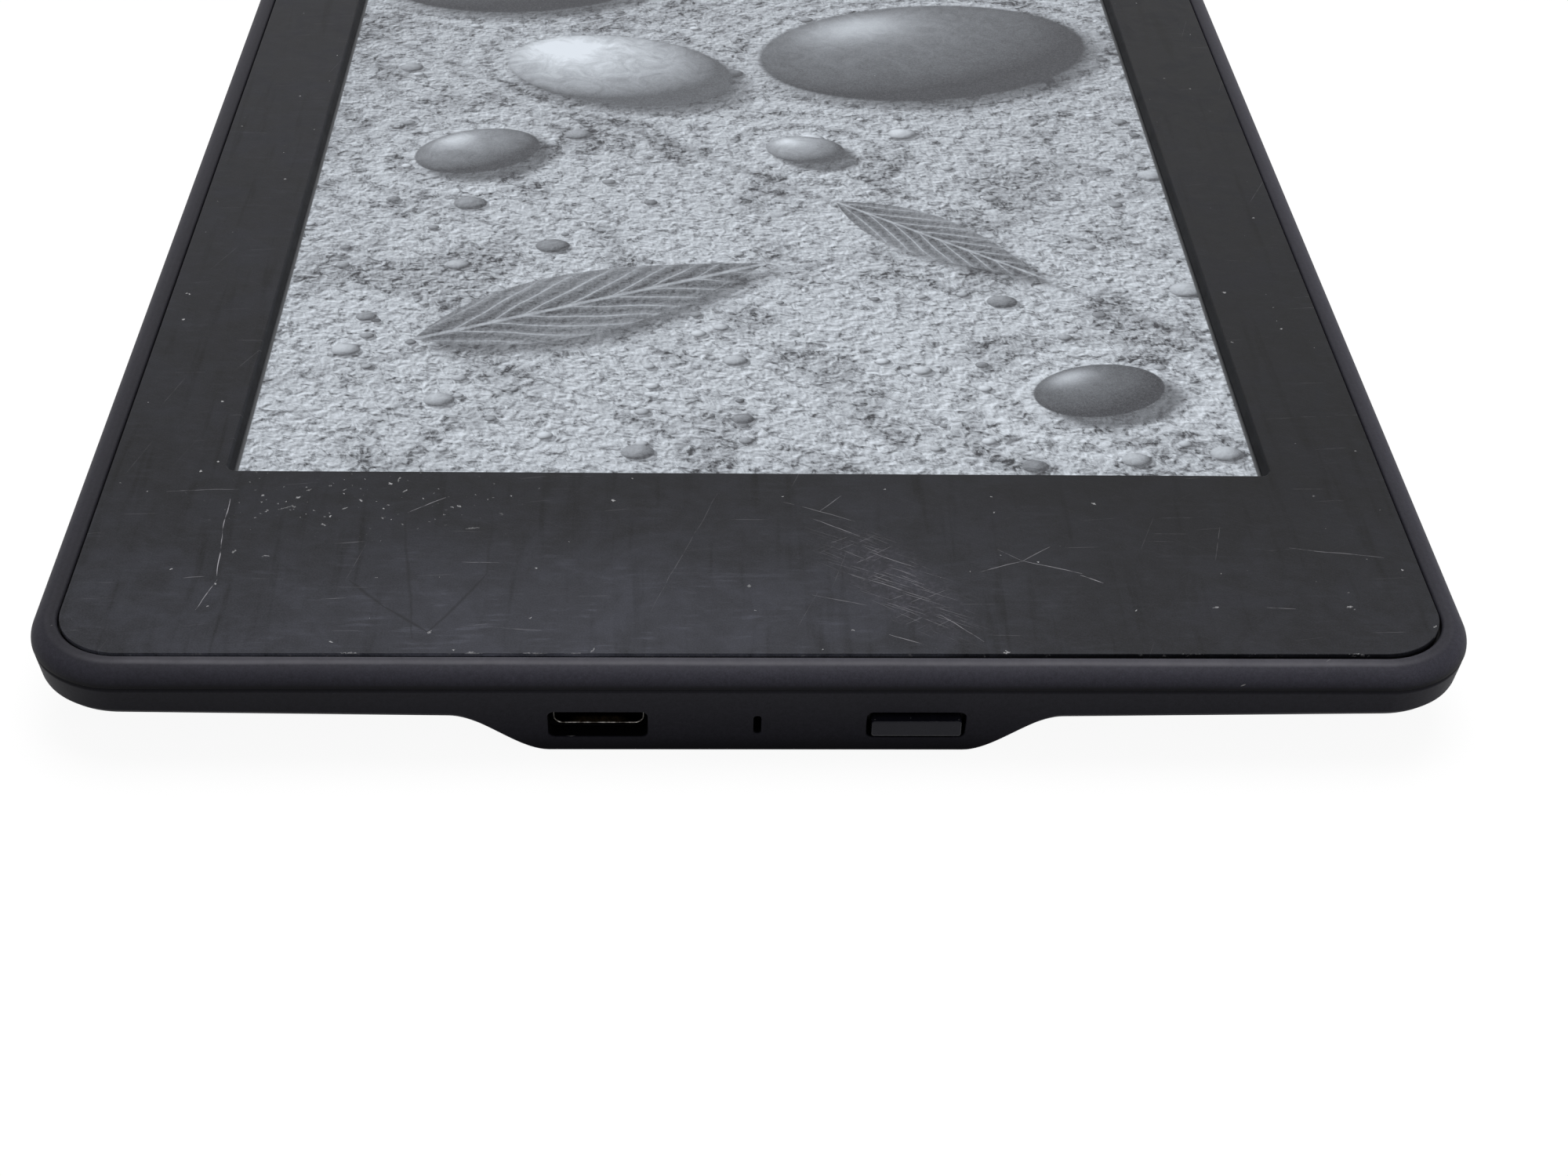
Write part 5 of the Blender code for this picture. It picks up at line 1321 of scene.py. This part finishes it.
def build_socket_shell(material):
    """The sheet-metal shell, with a rounded lip whose lower edge drops."""
    front, back = SOCKET_LOW.y, SOCKET_HIGH.y
    rings = []

    def ring(inset, y, drop=0.0):
        points = []
        for x, z in socket_loop(inset):
            points.append((SOCKET_X + x, y, Z_PORT + z - (drop if z < 0 else 0.0)))
        rings.append(points)

    ring(0.0, back)
    ring(0.0, front + LIP_FLARE)
    for step in range(2 * ROUND_STEPS + 1):
        angle = math.radians(180 * step / (2 * ROUND_STEPS))
        depth = LIP_ROUND * (1 - math.sin(angle))
        ring(SOCKET_WALL / 2 - LIP_ROUND * math.cos(angle), front + depth, LIP_DROP)
    ring(SOCKET_WALL, front + LIP_FLARE)
    ring(SOCKET_WALL, back)
    shell = mesh_object("socket_shell", loft(rings, closed=True))
    placed(shell, material, "body", "steel", "usb_shell")


def build_socket_insert(material):
    """The moulded insert: a base that fills the shell's back, and a tongue with a rounded front."""
    loop = socket_loop(SOCKET_WALL + INSERT_GAP)
    ends = (INSERT_BASE, SOCKET_HIGH.y)
    insert = mesh_object("socket_insert", loft([upright_ring(loop, SOCKET_X, y, Z_PORT) for y in ends]))
    rings = []

    def ring(shrink, y):
        half_x, half_z = TONGUE_WIDTH / 2 - shrink, TONGUE_THICKNESS / 2 - shrink
        loop = rounded_loop(half_x, half_z, TONGUE_CORNER_RADIUS - shrink, ROUND_STEPS)
        rings.append(upright_ring(loop, SOCKET_X, y, Z_PORT))

    for shrink, depth in fillet(TONGUE_EDGE_RADIUS):
        ring(shrink, INSERT_LOW.y + depth)
    ring(0.0, INSERT_BASE + TONGUE_ROOT)
    combined(insert, mesh_object("socket_tongue", loft(rings)), "UNION")
    placed(insert, material, "body", "moulded", "usb_insert")


def build_contacts(material):
    """The row of contacts under the tongue."""
    z = Z_PORT - TONGUE_THICKNESS / 2 - CONTACT_THICKNESS / 2
    loop = rounded_loop(CONTACT_WIDTH / 2, CONTACT_THICKNESS / 2, CONTACT_THICKNESS / 3, CONTACT_STEPS)
    ends = (INSERT_LOW.y + CONTACT_SETBACK, INSERT_BASE - CONTACT_GAP)
    strips = []
    for number in range(CONTACT_COUNT):
        x = SOCKET_X + CONTACT_PITCH * (number - (CONTACT_COUNT - 1) / 2)
        strips.append(loft([upright_ring(loop, x, y, z) for y in ends]))
    contacts = gathered("socket_contacts", strips)
    placed(contacts, material, "body", "gold")


# Studio: a pale floor, one broad soft light overhead, a weaker one from the front right, and an even world.
FLOOR_HALF = 1.5
FLOOR_DROP = 0.05 * MM
FLOOR_TONE = 0.5
FLOOR_GLOW = 0.93
KEY_PLACE = (0.03, 0.10, 0.62)
KEY_SIZE = 0.45
KEY_POWER = 4.6
FILL_PLACE = (0.35, -0.55, 0.55)
FILL_SIZE = 0.5
FILL_POWER = 0.7
WORLD_STRENGTH = 0.28


def seen_rays(graph):
    """1 for rays from the camera, a mirror or glass, and 0 for rays that carry light."""
    camera = graph.made("LightPath", {}, "Is Camera Ray")
    return camera.most(camera.beside("Is Glossy Ray")).most(camera.beside("Is Transmission Ray"))


def mapped(graph, value, low, high):
    """A number from low, for a value of 0, to high, for a value of 1."""
    return graph.made("MapRange", {"Value": value, "To Min": low, "To Max": high}, "Result")


def build_floor():
    bm = bmesh.new()
    bmesh.ops.create_grid(bm, x_segments=2, y_segments=2, size=FLOOR_HALF)
    floor = mesh_object("floor", bm)
    floor.location.z = -FLOOR_DROP
    made = bpy.data.materials.new("studio_floor")
    made.use_nodes = True
    graph = Graph(made.node_tree)
    graph.nodes.remove(graph.nodes["Principled BSDF"])
    seen = seen_rays(graph)
    matte = graph.made("BsdfDiffuse", {"Color": mapped(graph, seen, FLOOR_TONE, 1.0)})
    glow = graph.made("Emission", {})
    both = graph.made("MixShader", {0: mapped(graph, seen, 0.0, FLOOR_GLOW), 1: matte, 2: glow})
    graph.feed(graph.nodes["Material Output"].inputs["Surface"], both)
    floor.data.materials.append(made)


def build_world():
    world = bpy.data.worlds.new("studio")
    bpy.context.scene.world = world
    world.use_nodes = True
    graph = Graph(world.node_tree)
    back = graph.nodes["Background"]
    graph.feed(back.inputs["Color"], (1.0, 1.0, 1.0))
    graph.feed(back.inputs["Strength"], mapped(graph, seen_rays(graph), WORLD_STRENGTH, 1.0))


def build_light(name, place, size, power):
    data = bpy.data.lights.new(name, "AREA")
    data.shape = "SQUARE"
    data.size = size
    data.energy = power
    light = bpy.data.objects.new(name, data)
    light.location = place
    light.rotation_euler = (-Vector(place)).to_track_quat("-Z", "Y").to_euler()
    bpy.context.scene.collection.objects.link(light)


def main():
    make_camera()
    materials = slot_materials()
    dress_nodes(materials)
    build_cover(cover_plastic())
    build_bezel(bezel_plastic())
    build_button(button_plastic())
    build_socket_shell(socket_steel())
    build_socket_insert(materials["moulded"])
    build_contacts(materials["gold"])
    build_floor()
    build_world()
    build_light("key_light", KEY_PLACE, KEY_SIZE, KEY_POWER)
    build_light("fill_light", FILL_PLACE, FILL_SIZE, FILL_POWER)
    bpy.context.scene.view_settings.view_transform = "Standard"


main()
